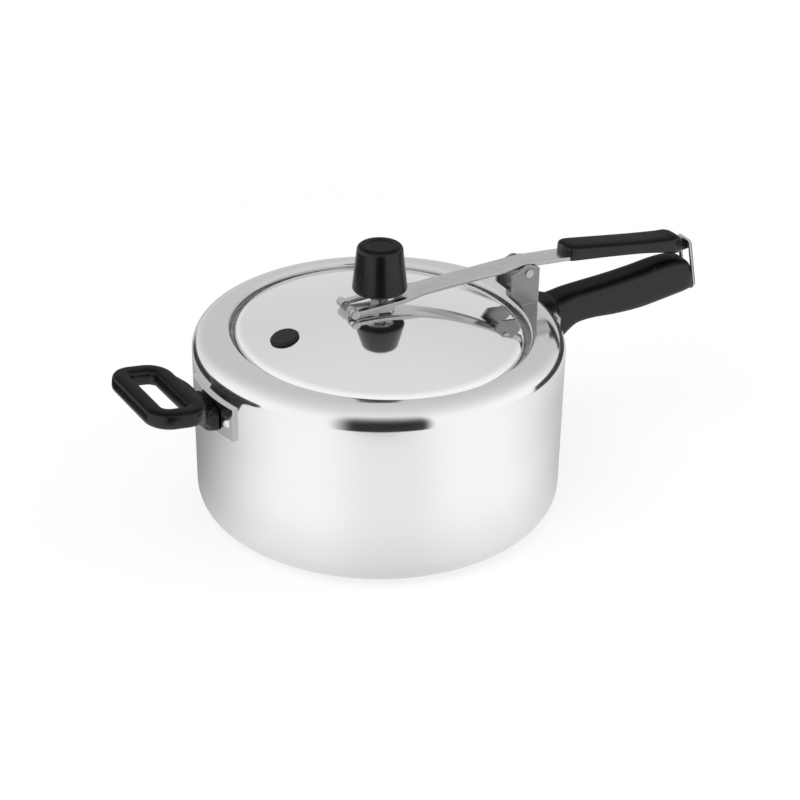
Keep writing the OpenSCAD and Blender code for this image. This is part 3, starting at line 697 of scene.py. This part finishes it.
class Blank:
    """A piece being shaped, before it becomes an object."""

    def __init__(self) -> None:
        """Starts empty."""
        self.bm = bmesh.new()

    def loop(self, points: Sequence[Vector]) -> list[bmesh.types.BMEdge]:
        """Makes a closed ring of edges.

        Args:
            points: The points that it runs through.

        Returns:
            Its edges.
        """
        made = bmesh.ops.create_circle(self.bm, segments=len(points), radius=1.0)["verts"]
        for vert, point in zip(made, points):
            vert.co = point
        return edges_of(made)

    def lathe(self, outline: Sequence[Point], steps: int = 256) -> None:
        """Spins an outline of (radius, height) points once round the Z axis.

        Args:
            outline: The half section, from one end to the other.
            steps: Pieces that the turn is made of.
        """
        verts = [self.bm.verts.new((r, 0, z)) for r, z in outline]
        edges = [self.bm.edges.new(pair) for pair in zip(verts, verts[1:])]
        bmesh.ops.spin(
            self.bm,
            geom=verts + edges,
            cent=(0, 0, 0),
            axis=(0, 0, 1),
            angle=2 * math.pi,
            steps=steps,
            use_merge=True,
        )
        bmesh.ops.remove_doubles(self.bm, verts=self.bm.verts, dist=1e-7)

    def loft(self, rings: Sequence[Sequence[Vector]], closed: bool = False) -> None:
        """Skins a row of rings.

        Args:
            rings: Rings with the same number of points, in order.
            closed: The last ring joins the first one, and no end is capped.
        """
        loops = [self.loop(ring) for ring in rings]
        pairs = list(zip(loops, loops[1:]))
        if closed:
            pairs.append((loops[-1], loops[0]))
        for first, second in pairs:
            bmesh.ops.bridge_loops(self.bm, edges=first + second)
        if not closed:
            for end in (loops[0], loops[-1]):
                bmesh.ops.edgeloop_fill(self.bm, edges=end)

    def drill(self, x: float, y: float, top: float) -> None:
        """Sinks a screw's round well from below.

        Args:
            x: Its place along X.
            y: Its place along Y.
            top: The height that it reaches up to.
        """
        bmesh.ops.recalc_face_normals(self.bm, faces=self.bm.faces)
        spot = Vector((x, y))
        under = [f for f in self.bm.faces if f.normal.z < -0.5]
        inside = [f for f in under if (f.calc_center_median().xy - spot).length < WELL]
        picked = set(inside)
        border = [e for f in inside for e in f.edges if not picked.issuperset(e.link_faces)]
        bmesh.ops.delete(self.bm, geom=inside, context="FACES")
        for vert in {v for e in border for v in e.verts}:
            away = (vert.co.xy - spot).normalized() * WELL
            vert.co.x = x + away.x
            vert.co.y = y + away.y
        made = bmesh.ops.extrude_edge_only(self.bm, edges=border)["geom"]
        for vert in [g for g in made if isinstance(g, bmesh.types.BMVert)]:
            vert.co.z = top
        rim = [g for g in made if isinstance(g, bmesh.types.BMEdge)]
        bmesh.ops.edgeloop_fill(self.bm, edges=rim)

    def pin(self, centre: Vector, radius: float, length: float, bevel: float) -> None:
        """Adds a cylinder along Y with rounded ends.

        Args:
            centre: Its middle.
            radius: Its radius.
            length: Its length.
            bevel: The round of its ends.
        """
        made = bmesh.ops.create_cone(
            self.bm,
            cap_ends=True,
            segments=48,
            radius1=radius,
            radius2=radius,
            depth=length,
            matrix=Matrix.Translation(centre) @ Matrix.Rotation(math.pi / 2, 4, "X"),
        )["verts"]
        self.round_off([e for e in edges_of(made) if is_sharp(e, 0.8)], bevel)

    def round_off(self, edges: list[bmesh.types.BMEdge], width: float) -> None:
        """Bevels edges to a round.

        Args:
            edges: The edges.
            width: How far the round reaches from them.
        """
        bmesh.ops.bevel(
            self.bm, geom=edges, offset=width, segments=3, profile=0.5, affect="EDGES", material=-1
        )

    def box(self, centre: Vector, size: tuple[float, float, float], bevel: float) -> None:
        """Adds a block with rounded edges.

        Args:
            centre: Its middle.
            size: Its length, width and height.
            bevel: The round of its edges.
        """
        place = Matrix.Translation(centre) @ Matrix.Diagonal((*size, 1))
        made = bmesh.ops.create_cube(self.bm, size=1.0, matrix=place)["verts"]
        self.round_off(edges_of(made), bevel)

    def move(self, place: Callable[[Vector], Vector]) -> None:
        """Moves each point of the piece.

        Args:
            place: Gives a point's new place.
        """
        for vert in self.bm.verts:
            vert.co = place(vert.co)

    def piece(self, name: str, body: Body, slot: Slot, nodes: Sequence[str]) -> bpy.types.Object:
        """Turns the blank into an object that stands for its CAD nodes.

        Args:
            name: The object's name.
            body: The body it rides on.
            slot: The record's material slot.
            nodes: The CAD nodes that it stands for.

        Returns:
            The object.
        """
        bmesh.ops.recalc_face_normals(self.bm, faces=self.bm.faces)
        for face in self.bm.faces:
            face.smooth = True
        for edge in self.bm.edges:
            edge.smooth = not is_sharp(edge, math.radians(40))
        mesh = bpy.data.meshes.new(name)
        self.bm.to_mesh(mesh)
        self.bm.free()
        mesh.materials.append(MATERIALS[slot])
        made = put_in(name, mesh)
        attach(made, body.value)
        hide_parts(*nodes)
        LOG.info("%s: %d faces, rides on the %s", name, len(mesh.polygons), body.value)
        return made


MATERIALS = {slot: finish.build() for slot, finish in FINISHES.items()}
OWN_MATERIALS = {node: finish.build() for node, finish in OWN_FINISHES.items()}


# ------------------------------------------------------------------ sub-assemblies


@dataclass
class Pot:
    """The spun pot, with its oval opening and turned-down lip."""

    wall: float = 2.5 * MM
    floor: float = 3 * MM
    base_bend: float = 16 * MM
    shoulder_bend: float = 12 * MM
    opening: Point = (91 * MM, 98 * MM)
    lip: float = 7 * MM
    lip_roll: float = 3 * MM
    base_step: float = 86 * MM
    base_rise: float = 0.35 * MM

    def outline(self, radius: float, height: float) -> list[Point]:
        """Draws half a section of the metal, at the opening's long half.

        Args:
            radius: The pot's outer radius.
            height: Its height.

        Returns:
            The section, from the axis out and back.
        """
        inside = radius - self.wall
        behind = self.opening[1] + self.wall
        under = height - self.wall
        return rounded(
            [
                (0, self.base_rise, 0),
                (self.base_step, self.base_rise, 0.4 * MM),
                (self.base_step + 0.6 * MM, 0, 0.4 * MM),
                (radius, 0, self.base_bend),
                (radius, height, self.shoulder_bend),
                (self.opening[1], height, self.lip_roll),
                (self.opening[1], height - self.lip, 0.6 * MM),
                (behind, height - self.lip, 0.6 * MM),
                (behind, under, 0.8 * MM),
                (inside, under, self.shoulder_bend - self.wall),
                (inside, self.floor, self.base_bend - self.wall),
                (0, self.floor, 0),
            ],
            steps=16,
        )

    def build(self) -> None:
        """Spins the pot and squeezes its opening to an oval."""
        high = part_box("pot_body")[1]
        radius, height = high.x, high.z
        flat_start = radius - self.shoulder_bend
        behind = self.opening[1] + self.wall
        squeeze = self.opening[0] / self.opening[1] - 1
        blank = Blank()
        blank.lathe(self.outline(radius, height))

        def to_oval(point: Vector) -> Vector:
            """Squeezes the lip along X and leaves the shoulder round.

            Args:
                point: A point of the round pot.

            Returns:
                Its place on the oval one.
            """
            if point.z < height - self.lip - self.wall:
                return point
            share = (flat_start - point.xy.length) / (flat_start - behind)
            point.x *= 1 + squeeze * min(max(share, 0.0), 1.0)
            return point

        blank.move(to_oval)
        blank.piece("pot_shell", Body.POT, Slot.POLISHED, ["pot_body"])


@dataclass
class Lid:
    """The domed oval lid with its bead, upright side and gasket flange."""

    edge: Point = (88.68 * MM, 95.5 * MM)
    rise: float = 15.2 * MM
    bead: float = 5 * MM
    metal: float = 2.2 * MM
    flange: float = 106.4 * MM

    def skin(self, inset: float, top: float) -> list[Point]:
        """Draws half a section of the dome and bead.

        Args:
            inset: Its depth under the outer skin.
            top: The height of the dome.

        Returns:
            The section, from the axis out.
        """
        sphere = (self.edge[1] ** 2 + self.rise**2) / (2 * self.rise)
        centre = top - sphere
        middle = self.edge[1] - self.bead
        middle_z = centre + math.sqrt((sphere - self.bead) ** 2 - middle**2)
        lean = math.degrees(math.atan2(middle_z - centre, middle))
        dome = arc((0, centre), sphere - inset, 90, lean, 28)
        return dome[:-1] + arc((middle, middle_z), self.bead - inset, lean, 0, 10)

    def build(self) -> None:
        """Spins the lid and squeezes it to an oval."""
        low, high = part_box("lid_shell")
        outer = self.skin(0, high.z)
        inner = self.skin(self.metal, high.z)
        side, rim = self.edge[1], high.y
        foot = rounded(
            [
                (*outer[-1], 0),
                (side, self.flange, 0.5 * MM),
                (rim, self.flange, 0.9 * MM),
                (rim, low.z, 0.9 * MM),
                (side - self.metal, low.z, 0.8 * MM),
                (*inner[-1], 0),
            ],
            steps=6,
        )
        blank = Blank()
        blank.lathe(outer[:-1] + foot + inner[-2::-1])
        squeeze = self.edge[0] / self.edge[1]
        blank.move(lambda p: Vector((p.x * squeeze, p.y, p.z)))
        blank.piece("lid_dome", Body.LID, Slot.LID, ["lid_shell"])


@dataclass
class Weight:
    """The tapered black cover of the pressure weight."""

    crown: float = 13.8 * MM
    crown_round: float = 3.5 * MM
    foot: float = 16.9 * MM
    foot_drop: float = 0.5 * MM
    foot_bevel: float = 1.2 * MM
    bore: float = 9.6 * MM
    bore_top: float = 163.6 * MM
    dish: float = 7 * MM
    dish_depth: float = 0.35 * MM

    def build(self) -> None:
        """Spins the cover."""
        low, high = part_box("weight_cover")
        foot_z = low.z - self.foot_drop
        outline = rounded(
            [
                (0, high.z - self.dish_depth, 0),
                (self.dish, high.z - self.dish_depth, 0.6 * MM),
                (self.dish + 1 * MM, high.z, 0.6 * MM),
                (self.crown, high.z, self.crown_round),
                (self.foot, foot_z + self.foot_bevel, 0.8 * MM),
                (self.foot - self.foot_bevel / 2, foot_z, 0.4 * MM),
                (self.bore, foot_z, 0.4 * MM),
                (self.bore, self.bore_top, 0.3 * MM),
                (0, self.bore_top, 0),
            ],
            steps=10,
        )
        blank = Blank()
        blank.lathe(outline, 128)
        blank.piece("weight_cap", Body.WEIGHT, Slot.PHENOLIC, ["weight_cover"])


@dataclass
class Grip:
    """A moulded black bar with the wells of its screws."""

    name: str
    body: Body
    node: str
    wells: Sequence[Point]

    def build(
        self,
        stations: Sequence[Station],
        extra: Callable[[Blank], None] | None = None,
        root: Callable[[Vector], Vector] | None = None,
    ) -> None:
        """Skins the bar, sinks its screw wells and adds what `extra` adds.

        Args:
            stations: The stations along the bar.
            extra: Adds further forms to the blank.
            root: Lays the points of the first ring against what the bar stands on.
        """
        blank = Blank()
        rings = bar_rings(stations)
        if root:
            rings[0] = [root(point) for point in rings[0]]
        blank.loft(rings)
        for x, top in self.wells:
            blank.drill(x, 0.0, top)
        if extra:
            extra(blank)
        blank.piece(self.name, self.body, Slot.PHENOLIC, [self.node])


@dataclass
class LongHandle:
    """The long handle, with the lug that carries the bail."""

    length: float = 110.5 * MM
    depth: float = 42 * MM
    half: float = 11 * MM
    root: float = 13 * MM
    lug_half: float = 4.4 * MM
    lug_radius: float = 2.6 * MM
    lug_reach: float = 2.3 * MM
    neck: float = 7 * MM
    shoulder: float = 12 * MM
    root_gap: float = 0.5 * MM

    def stations(self, wall: float, rim: float) -> list[Station]:
        """Sets the stations from the wall to the end, whose heights are shares of the root's depth.

        Args:
            wall: The wall's distance from the pot's axis.
            rim: The rim's height.

        Returns:
            The stations.
        """
        shares = [
            (0.008, -0.94, -0.06, self.root + 4 * MM),
            (0.028, -0.92, -0.065, self.root + 3.6 * MM),
            (0.055, -0.86, -0.075, self.root - 0.1 * MM),
            (0.09, -0.775, -0.06, self.root - 1 * MM),
            (0.145, -0.635, -0.028, self.half + 0.4 * MM),
            (0.21, -0.54, -0.003, self.half),
            (0.31, -0.51, 0.024, self.half),
            (0.46, -0.52, 0.068, self.half),
            (0.62, -0.505, 0.128, self.half),
            (0.76, -0.45, 0.192, self.half),
            (0.87, -0.395, 0.212, self.half),
            (0.935, -0.36, 0.182, self.half),
            (0.965, -0.34, 0.12, self.half - 0.6 * MM),
            (0.98, -0.335, -0.01, self.half - 1.4 * MM),
            (0.993, -0.33, -0.16, self.half - 2 * MM),
            (1.0, -0.32, -0.25, self.half - 2.5 * MM),
        ]
        return [
            (wall + share * self.length, rim + low * self.depth, rim + high * self.depth, half)
            for share, low, high, half in shares
        ]

    def build(self) -> None:
        """Moulds the handle against the wall and adds its lug."""
        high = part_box("pot_body")[1]
        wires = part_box("latch_bail")
        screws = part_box("handle_screws")
        pivot = Vector((high.x + self.length + self.lug_reach, 0, wires[0].z + WIRE))
        wide, deep = 2 * self.lug_half, 2 * self.lug_radius

        def lug(blank: Blank) -> None:
            """Adds the eye that the bail turns in and its short neck."""
            blank.pin(pivot, self.lug_radius, wide, 0.5 * MM)
            blank.box(pivot - Vector((self.neck / 2, 0, 0)), (self.neck, wide, deep), 0.4 * MM)

        def against_wall(point: Vector) -> Vector:
            """Lays a point of the root on the wall and its shoulder.

            Args:
                point: A point of the root's ring.

            Returns:
                Its place.
            """
            over = max(point.z - (high.z - self.shoulder), 0.0)
            wall = high.x - self.shoulder + math.sqrt(self.shoulder**2 - over**2) + self.root_gap
            return Vector((math.sqrt(wall**2 - point.y**2), point.y, point.z))

        level = screws[0].z + HEAD_HEIGHT
        wells = [(screws[0].x + SCREW_HEAD, level), (screws[1].x - SCREW_HEAD, level)]
        grip = Grip("long_handle_moulding", Body.POT, "long_handle", wells)
        grip.build(self.stations(high.x, high.z), lug, against_wall)


@dataclass
class LeverGrip:
    """The lever's black grip, whose nose the bail crosses."""

    start: float = 127.5 * MM
    strap_end: float = 205.5 * MM
    seat: float = 218.3 * MM
    nose: float = 5.5 * MM
    height: float = 9.3 * MM
    half: float = 10 * MM

    def under(self, x: float) -> float:
        """Gives the height of the strap's underside at a place along X."""
        return FULCRUM[1] - (x - FULCRUM[0]) * FALL

    def stations(self) -> list[Station]:
        """Sets the stations, whose heights are shares of the grip's over the strap's underside.

        Returns:
            The stations.
        """
        w, reach, e = self.half, self.strap_end - self.start, self.seat + self.nose
        shares = [
            (self.start, -0.12, 0.88, w * 0.56),
            (self.start + reach * 0.02, -0.14, 0.97, w * 0.8),
            (self.start + reach * 0.05, -0.15, 1.0, w * 0.94),
            (self.start + reach * 0.1, -0.15, 1.0, w),
            (self.start + reach * 0.36, -0.22, 0.84, w),
            (self.start + reach * 0.72, -0.38, 0.63, w),
            (self.strap_end - reach * 0.04, -0.64, 0.55, w),
            (self.strap_end + reach * 0.04, -0.8, 0.58, w * 0.94),
            (self.seat - self.nose, -0.84, 0.44, w * 0.76),
            (self.seat - self.nose * 0.4, -0.84, 0.1, w * 0.55),
            (self.seat - self.nose * 0.05, -0.83, -0.16, w * 0.45),
            (self.seat + self.nose * 0.2, -0.8, -0.226, w * 0.42),
            (e - self.nose * 0.3, -0.74, -0.226, w * 0.4),
            (e, -0.64, -0.286, w * 0.32),
        ]
        return [
            (x, self.under(x) + self.height * low, self.under(x) + self.height * high, half)
            for x, low, high, half in shares
        ]

    def build(self) -> None:
        """Moulds the grip round the strap."""
        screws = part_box("grip_screws")
        places = (screws[0].x + SCREW_HEAD, screws[1].x - SCREW_HEAD)
        wells = [(x, self.under(x) - 0.1 * MM) for x in places]
        Grip("lever_grip_moulding", Body.LEVER, "lever_grip", wells).build(self.stations())


@dataclass
class Strap:
    """The flat steel strap, forked at the lid, bent at the fulcrum and rounded on its edges."""

    thickness: float = 2.5 * MM
    half: float = 8 * MM
    fork_half: float = 11 * MM
    slot_half: float = 6.7 * MM
    slot_end: float = 3 * MM
    taper: Point = (14 * MM, 27 * MM)
    eye: float = 2.9 * MM
    edge: float = 0.35 * MM
    rise: float = math.tan(math.radians(4.891))

    def plan(self, eye_x: float, end: float) -> list[Vector]:
        """Draws the strap seen from above.

        Args:
            eye_x: Where the fork's eyes are along X.
            end: Where the strap ends.

        Returns:
            The points round it.
        """
        near = [
            (eye_x, -self.fork_half),
            (self.taper[0], -self.fork_half),
            (self.taper[1], -self.half),
            (end, -self.half),
        ]
        far = [(x, -y) for x, y in reversed(near)]
        slot = arc((self.slot_end, 0), self.slot_half, 90, -90, 24)
        points = [*slot, (eye_x, -self.slot_half), *near, *far, (eye_x, self.slot_half)]
        return [Vector((x, y, 0)) for x, y in points]

    def build(self) -> None:
        """Cuts, bends and rounds the strap and adds the fork's eyes."""
        low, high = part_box("lever_strap")
        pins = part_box("pivot_pins")
        eye_x = low.x + self.eye
        eye_z = (pins[0].z + pins[1].z) / 2
        blank = Blank()
        bm = blank.bm
        bmesh.ops.edgeloop_fill(bm, edges=blank.loop(self.plan(eye_x, high.x)))
        made = bmesh.ops.extrude_face_region(bm, geom=bm.faces[:])["geom"]
        up = [g for g in made if isinstance(g, bmesh.types.BMVert)]
        bmesh.ops.translate(bm, verts=up, vec=(0, 0, self.thickness))
        geom = bm.verts[:] + bm.edges[:] + bm.faces[:]
        bmesh.ops.bisect_plane(bm, geom=geom, plane_co=(FULCRUM[0], 0, 0), plane_no=(1, 0, 0))

        def bend(point: Vector) -> Vector:
            """Lifts the strap to its two slopes.

            Args:
                point: A point of the flat strap.

            Returns:
                Its place on the bent one.
            """
            run = point.x - FULCRUM[0]
            over = run * self.rise if run < 0 else -run * FALL
            return Vector((point.x, point.y, point.z + FULCRUM[1] + over))

        blank.move(bend)
        blank.round_off([e for e in bm.edges if is_sharp(e, 1.2)], self.edge)
        wide = self.fork_half - self.slot_half
        for side in (-1, 1):
            middle = side * (self.slot_half + self.fork_half) / 2
            blank.pin(Vector((eye_x, middle, eye_z)), self.eye, wide, self.edge)
        blank.piece("strap_sheet", Body.LEVER, Slot.STEEL, ["lever_strap"])


@dataclass
class Helper:
    """The helper handle: a tilted loop of bar and the neck that joins it to the wall."""

    turn: float = 5.6
    tilt: float = 7.5
    wall: float = 115 * MM
    rim: float = 118 * MM
    reach: float = 52 * MM
    width: float = 71.5 * MM
    depth: float = 37.5 * MM
    bar: float = 11 * MM
    thick: float = 10.4 * MM
    drop: float = 11.5 * MM
    bend: float = 9 * MM
    bend_steps: int = 14
    root_half: float = 14.2 * MM
    root: Point = (80 * MM, 98 * MM)

    def loop_rings(self) -> list[list[Vector]]:
        """Draws the bar's section round the loop, which lies flat at the origin.

        Returns:
            The rings' points.
        """
        half_x, half_y = (self.depth - self.bar) / 2, (self.width - self.bar) / 2
        corners = [(half_x, -half_y), (half_x, half_y), (-half_x, half_y), (-half_x, -half_y)]
        section = soft_square(self.bar, self.thick, 32, 3.4)
        rings = []
        for k, (x, y) in enumerate(corners):
            centre = (x - math.copysign(self.bend, x), y - math.copysign(self.bend, y))
            for i, (px, py) in enumerate(arc(centre, self.bend, 90 * k - 90, 90 * k, self.bend_steps)):
                t = math.radians(90 * k - 90 + 90 * i / self.bend_steps)
                rings.append([Vector((px + u * math.cos(t), py + u * math.sin(t), v)) for u, v in section])
        return rings

    def middle(self) -> float:
        """Gives the loop's middle along X before the handle is turned round the pot."""
        return -(self.wall + self.reach) + self.depth / 2

    def neck_stations(self) -> list[Station]:
        """Sets the stations from the loop's inner bar to the wall.

        Returns:
            The stations.
        """
        loop_x = self.middle()
        end = loop_x + self.depth / 2
        gap = -self.wall - end
        height = self.rim - self.drop + (loop_x - end) * math.tan(math.radians(self.tilt))
        low, high, r = height - self.thick / 2, height + self.thick / 2, self.root_half
        return [
            (end - self.bar * 0.62, low + 1.2 * MM, high - 0.6 * MM, r + 14 * MM),
            (end - self.bar * 0.1, low - 1.4 * MM, high - 1.2 * MM, r + 11.5 * MM),
            (end + gap * 0.26, self.root[0] + 4.8 * MM, high - 3.4 * MM, r + 3 * MM),
            (end + gap * 0.55, self.root[0] + 0.8 * MM, self.root[1] + 2.4 * MM, r),
            (-self.wall - 2.15 * MM, self.root[0], self.root[1], r),
        ]

    def build(self) -> None:
        """Moulds the loop and the neck and turns them to their place round the pot."""
        blank = Blank()
        blank.loft(self.loop_rings(), closed=True)
        lean = Matrix.Rotation(math.radians(self.tilt), 4, "Y")
        lifted = Matrix.Translation((self.middle(), 0, self.rim - self.drop)) @ lean
        blank.move(lambda p: lifted @ p)
        blank.loft(bar_rings(self.neck_stations()))
        place = Matrix.Rotation(math.radians(self.turn), 4, "Z")
        blank.move(lambda p: place @ p)
        low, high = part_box("helper_screw")
        middle = (low + high) / 2
        blank.drill(middle.x, middle.y, low.z + HEAD_HEIGHT)
        blank.piece("helper_moulding", Body.POT, Slot.PHENOLIC, ["helper_handle"])


# ------------------------------------------------------------------ studio


@dataclass(frozen=True)
class Card:
    """A grey card round the cooker: turned from the camera's side, with soft left, right and top edges."""

    name: str
    turn: float
    distance: float
    across: Point
    height: Point
    value: float
    fade: tuple[float, float, float]


CARDS = (
    Card("front_card", 0.0, 0.31, (-0.15, 0.165), (0.0, 0.45), 0.01, (0.09, 0.045, 0.3)),
    Card("left_card", -105.0, 0.31, (-0.22, 0.225), (0.0, 0.115), 0.02, (0.1, 0.04, 0.03)),
    Card("right_card", 128.0, 0.5, (-0.36, 0.45), (0.0, 0.17), 0.02, (0.04, 0.1, 0.04)),
)


@dataclass
class Studio:
    """The pale floor, the soft lamps, the grey reflection cards and the camera."""

    eye: tuple[float, float, float] = (-0.4138, -0.8792, 0.5813)
    aim: tuple[float, float, float] = (0.0121, -0.0059, 0.0655)
    roll: float = 0.92
    lens: float = 78.8
    softening: float = 0.75
    tent_radius: float = 2.5
    day: float = 0.62
    bearing: float = 244.8
    lit: tuple[float, float, float] = (0.0, 0.0, 0.06)

    def camera(self) -> None:
        """Sets the camera at the viewing angle."""
        data = bpy.data.cameras.new("camera")
        data.lens = self.lens
        data.sensor_width = 36.0
        data.clip_start = 0.01
        data.clip_end = 50.0
        ahead = (Vector(self.aim) - Vector(self.eye)).normalized()
        right = ahead.cross(Vector((0, 0, 1))).normalized()
        axes = Matrix((right, right.cross(ahead), -ahead)).transposed().to_4x4()
        roll = Matrix.Rotation(math.radians(self.roll), 4, "Z")
        camera = put_in("camera", data)
        camera.matrix_world = Matrix.Translation(self.eye) @ axes @ roll
        bpy.context.scene.camera = camera

    def sheet(self, name: str, size: Point, place: Matrix, turn: float, graph: Graph) -> bpy.types.Object:
        """Adds a flat stage sheet.

        Args:
            name: The sheet's name.
            size: Its width and height.
            place: Where it stands before it is turned.
            turn: Its turn round the Z axis, in degrees.
            graph: Its material.

        Returns:
            The sheet, whose own frame is turned with it.
        """
        bm = bmesh.new()
        bmesh.ops.create_grid(bm, x_segments=1, y_segments=1, size=0.5)
        bmesh.ops.transform(bm, verts=bm.verts, matrix=place @ Matrix.Diagonal((*size, 1, 1)))
        return self.stage(name, bm, turn, graph)

    def stage(self, name: str, bm: bmesh.types.BMesh, turn: float, graph: Graph) -> bpy.types.Object:
        """Turns a mesh into an object of the studio.

        Args:
            name: The object's name.
            bm: Its mesh.
            turn: Its turn round the Z axis, in degrees.
            graph: Its material.

        Returns:
            The object.
        """
        mesh = bpy.data.meshes.new(name)
        bm.to_mesh(mesh)
        bm.free()
        mesh.materials.append(graph.owner)
        made = put_in(name, mesh)
        made.matrix_world = Matrix.Rotation(math.radians(turn), 4, "Z")
        return made

    def mirrored_only(self, made: bpy.types.Object) -> None:
        """Leaves a sheet to the reflections alone.

        Args:
            made: The sheet.
        """
        made.visible_camera = False
        made.visible_diffuse = False
        made.visible_shadow = False
        made.visible_transmission = False

    def floor(self) -> None:
        """Lays a pale floor that runs out softly into the white round it."""
        g = Graph(bpy.data.materials.new("floor"))
        x, y, _ = g.place()
        away = (x * x + y * y).root().ramp(0.3, 0.75)
        matt = g.add("ShaderNodeBsdfDiffuse", None, {"Color": grey(0.97)})
        seen = Wire(g, g.node("ShaderNodeLightPath").outputs["Is Camera Ray"])
        lit = g.mixed(seen * self.softening, matt, g.glow(grey(1.0)))
        g.surface(g.mixed(away, lit, g.add("ShaderNodeBsdfTransparent")))
        self.sheet("floor", (1.6, 1.6), Matrix.Identity(4), 0.0, g)

    def painted_shadow_sheet(self) -> None:
        """Lays a glowing sheet that the wall mirrors, with the pot's shadow painted on it: darker beside
        the pot, in front, behind and near its foot.
        """
        g = Graph(bpy.data.materials.new("painted_shadow_table"))
        x, y, _ = g.place()
        turn = g.bearing(x, y)
        away = (x * x + y * y).root()
        # Painted shadow of the pot in the sheet's glow: darker to the sides, in front, behind and near the
        # foot.
        far = away.ramp(0.2, 0.3)
        left = 1.0 - (turn * -1.0).ramp(40.0, 112.0) * (0.68 - far * 0.24)
        right = 1.0 - turn.ramp(55.0, 125.0) * (0.45 - far * 0.17)
        middle = 0.9 + abs(turn - 6.0).ramp(4.0, 36.0) * 0.1
        foot = 0.77 + away.ramp(0.1, 0.2) * 0.23
        value = left * right * middle * foot
        value = value + (foot * 0.45 - value) * abs(turn).ramp(148.0, 179.0)
        g.surface(g.glow(g.vector(value, value, value)))
        place = Matrix.Translation((0, 0, 0.1 * MM))
        self.mirrored_only(self.sheet("painted_shadow_table", (2.4, 2.4), place, self.bearing, g))

    def tent(self) -> None:
        """Hangs a round white tent over everything, greyer overhead and behind, for reflections alone."""
        g = Graph(bpy.data.materials.new("tent"))
        x, _, z = g.place()
        height = z / self.tent_radius
        overhead = 1.0 - height.ramp(0.25, 0.85) * 0.06
        behind = 0.82 + height.ramp(0.45, 0.95) * 0.1
        share = (x / -self.tent_radius).ramp(0.1, 0.6)
        value = overhead + share * (behind - overhead)
        g.surface(g.glow(g.vector(value, value, value)))
        bm = bmesh.new()
        bmesh.ops.create_uvsphere(bm, u_segments=96, v_segments=48, radius=self.tent_radius)
        made = self.stage("tent", bm, self.bearing, g)
        for face in made.data.polygons:
            face.use_smooth = True
        self.mirrored_only(made)

    def card(self, card: Card) -> None:
        """Stands a card round the cooker, seen only in reflections.

        Args:
            card: The card's sizes.
        """
        g = Graph(bpy.data.materials.new(card.name))
        _, y, z = g.place()
        left, right = card.across
        low, high = card.height
        cover = y.ramp(left, left + card.fade[0]) * (1.0 - y.ramp(right - card.fade[1], right))
        cover = cover * (1.0 - z.ramp(high - card.fade[2], high))
        g.surface(g.mixed(cover, g.add("ShaderNodeBsdfTransparent"), g.glow(grey(card.value))))
        upright = Matrix.Rotation(math.pi / 2, 4, "Z") @ Matrix.Rotation(math.pi / 2, 4, "X")
        place = Matrix.Translation((card.distance, (left + right) / 2, (low + high) / 2)) @ upright
        size = (right - left, high - low)
        self.mirrored_only(self.sheet(card.name, size, place, self.bearing + card.turn, g))

    def lamp(self, name: str, place: tuple[float, float, float], size: float, power: float) -> None:
        """Adds a square soft lamp that faces the object.

        Args:
            name: The lamp's name.
            place: Where it stands.
            size: Its width.
            power: Its power in watts.
        """
        data = bpy.data.lights.new(name, "AREA")
        data.shape = "SQUARE"
        data.size = size
        data.energy = power
        facing = (Vector(self.lit) - Vector(place)).to_track_quat("-Z", "Y")
        lamp = put_in(name, data)
        lamp.matrix_world = Matrix.Translation(place) @ facing.to_matrix().to_4x4()
        lamp.visible_glossy = False

    def world(self) -> None:
        """White to the camera and in reflections, plain soft daylight on matt surfaces."""
        world = bpy.data.worlds.new("studio")
        bpy.context.scene.world = world
        g = Graph(world)
        path = g.node("ShaderNodeLightPath")
        seen = Wire(g, path.outputs["Is Camera Ray"])
        for name in ("Is Glossy Ray", "Is Transmission Ray"):
            seen = g.larger(seen, Wire(g, path.outputs[name]))
        soft = g.add("ShaderNodeBackground", None, {"Color": grey(1.0), "Strength": self.day})
        white = g.add("ShaderNodeBackground", None, {"Color": grey(1.0), "Strength": 1.0})
        g.surface(g.mixed(seen, soft, white))

    def build(self) -> None:
        """Sets up everything round the object."""
        self.floor()
        self.painted_shadow_sheet()
        self.tent()
        for card in CARDS:
            self.card(card)
        self.lamp("key", (-1.1, -0.6, 2.0), 1.6, 26.0)
        self.lamp("fill", (1.4, -0.9, 1.7), 1.8, 12.0)
        self.world()
        self.camera()
        bpy.context.scene.view_settings.view_transform = "Standard"


def main() -> None:
    """Builds the pieces, dresses the CAD nodes and sets up the studio."""
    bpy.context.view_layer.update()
    for part in (Pot(), Lid(), Weight(), LongHandle(), LeverGrip(), Strap(), Helper()):
        part.build()
    for name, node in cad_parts.items():
        if node.hide_render:
            continue
        for place in node.material_slots:
            place.material = OWN_MATERIALS.get(name) or MATERIALS[Slot(place.material.name)]
        LOG.info("%s keeps its CAD shape", name)
    Studio().build()


if __name__ == "__main__":
    main()
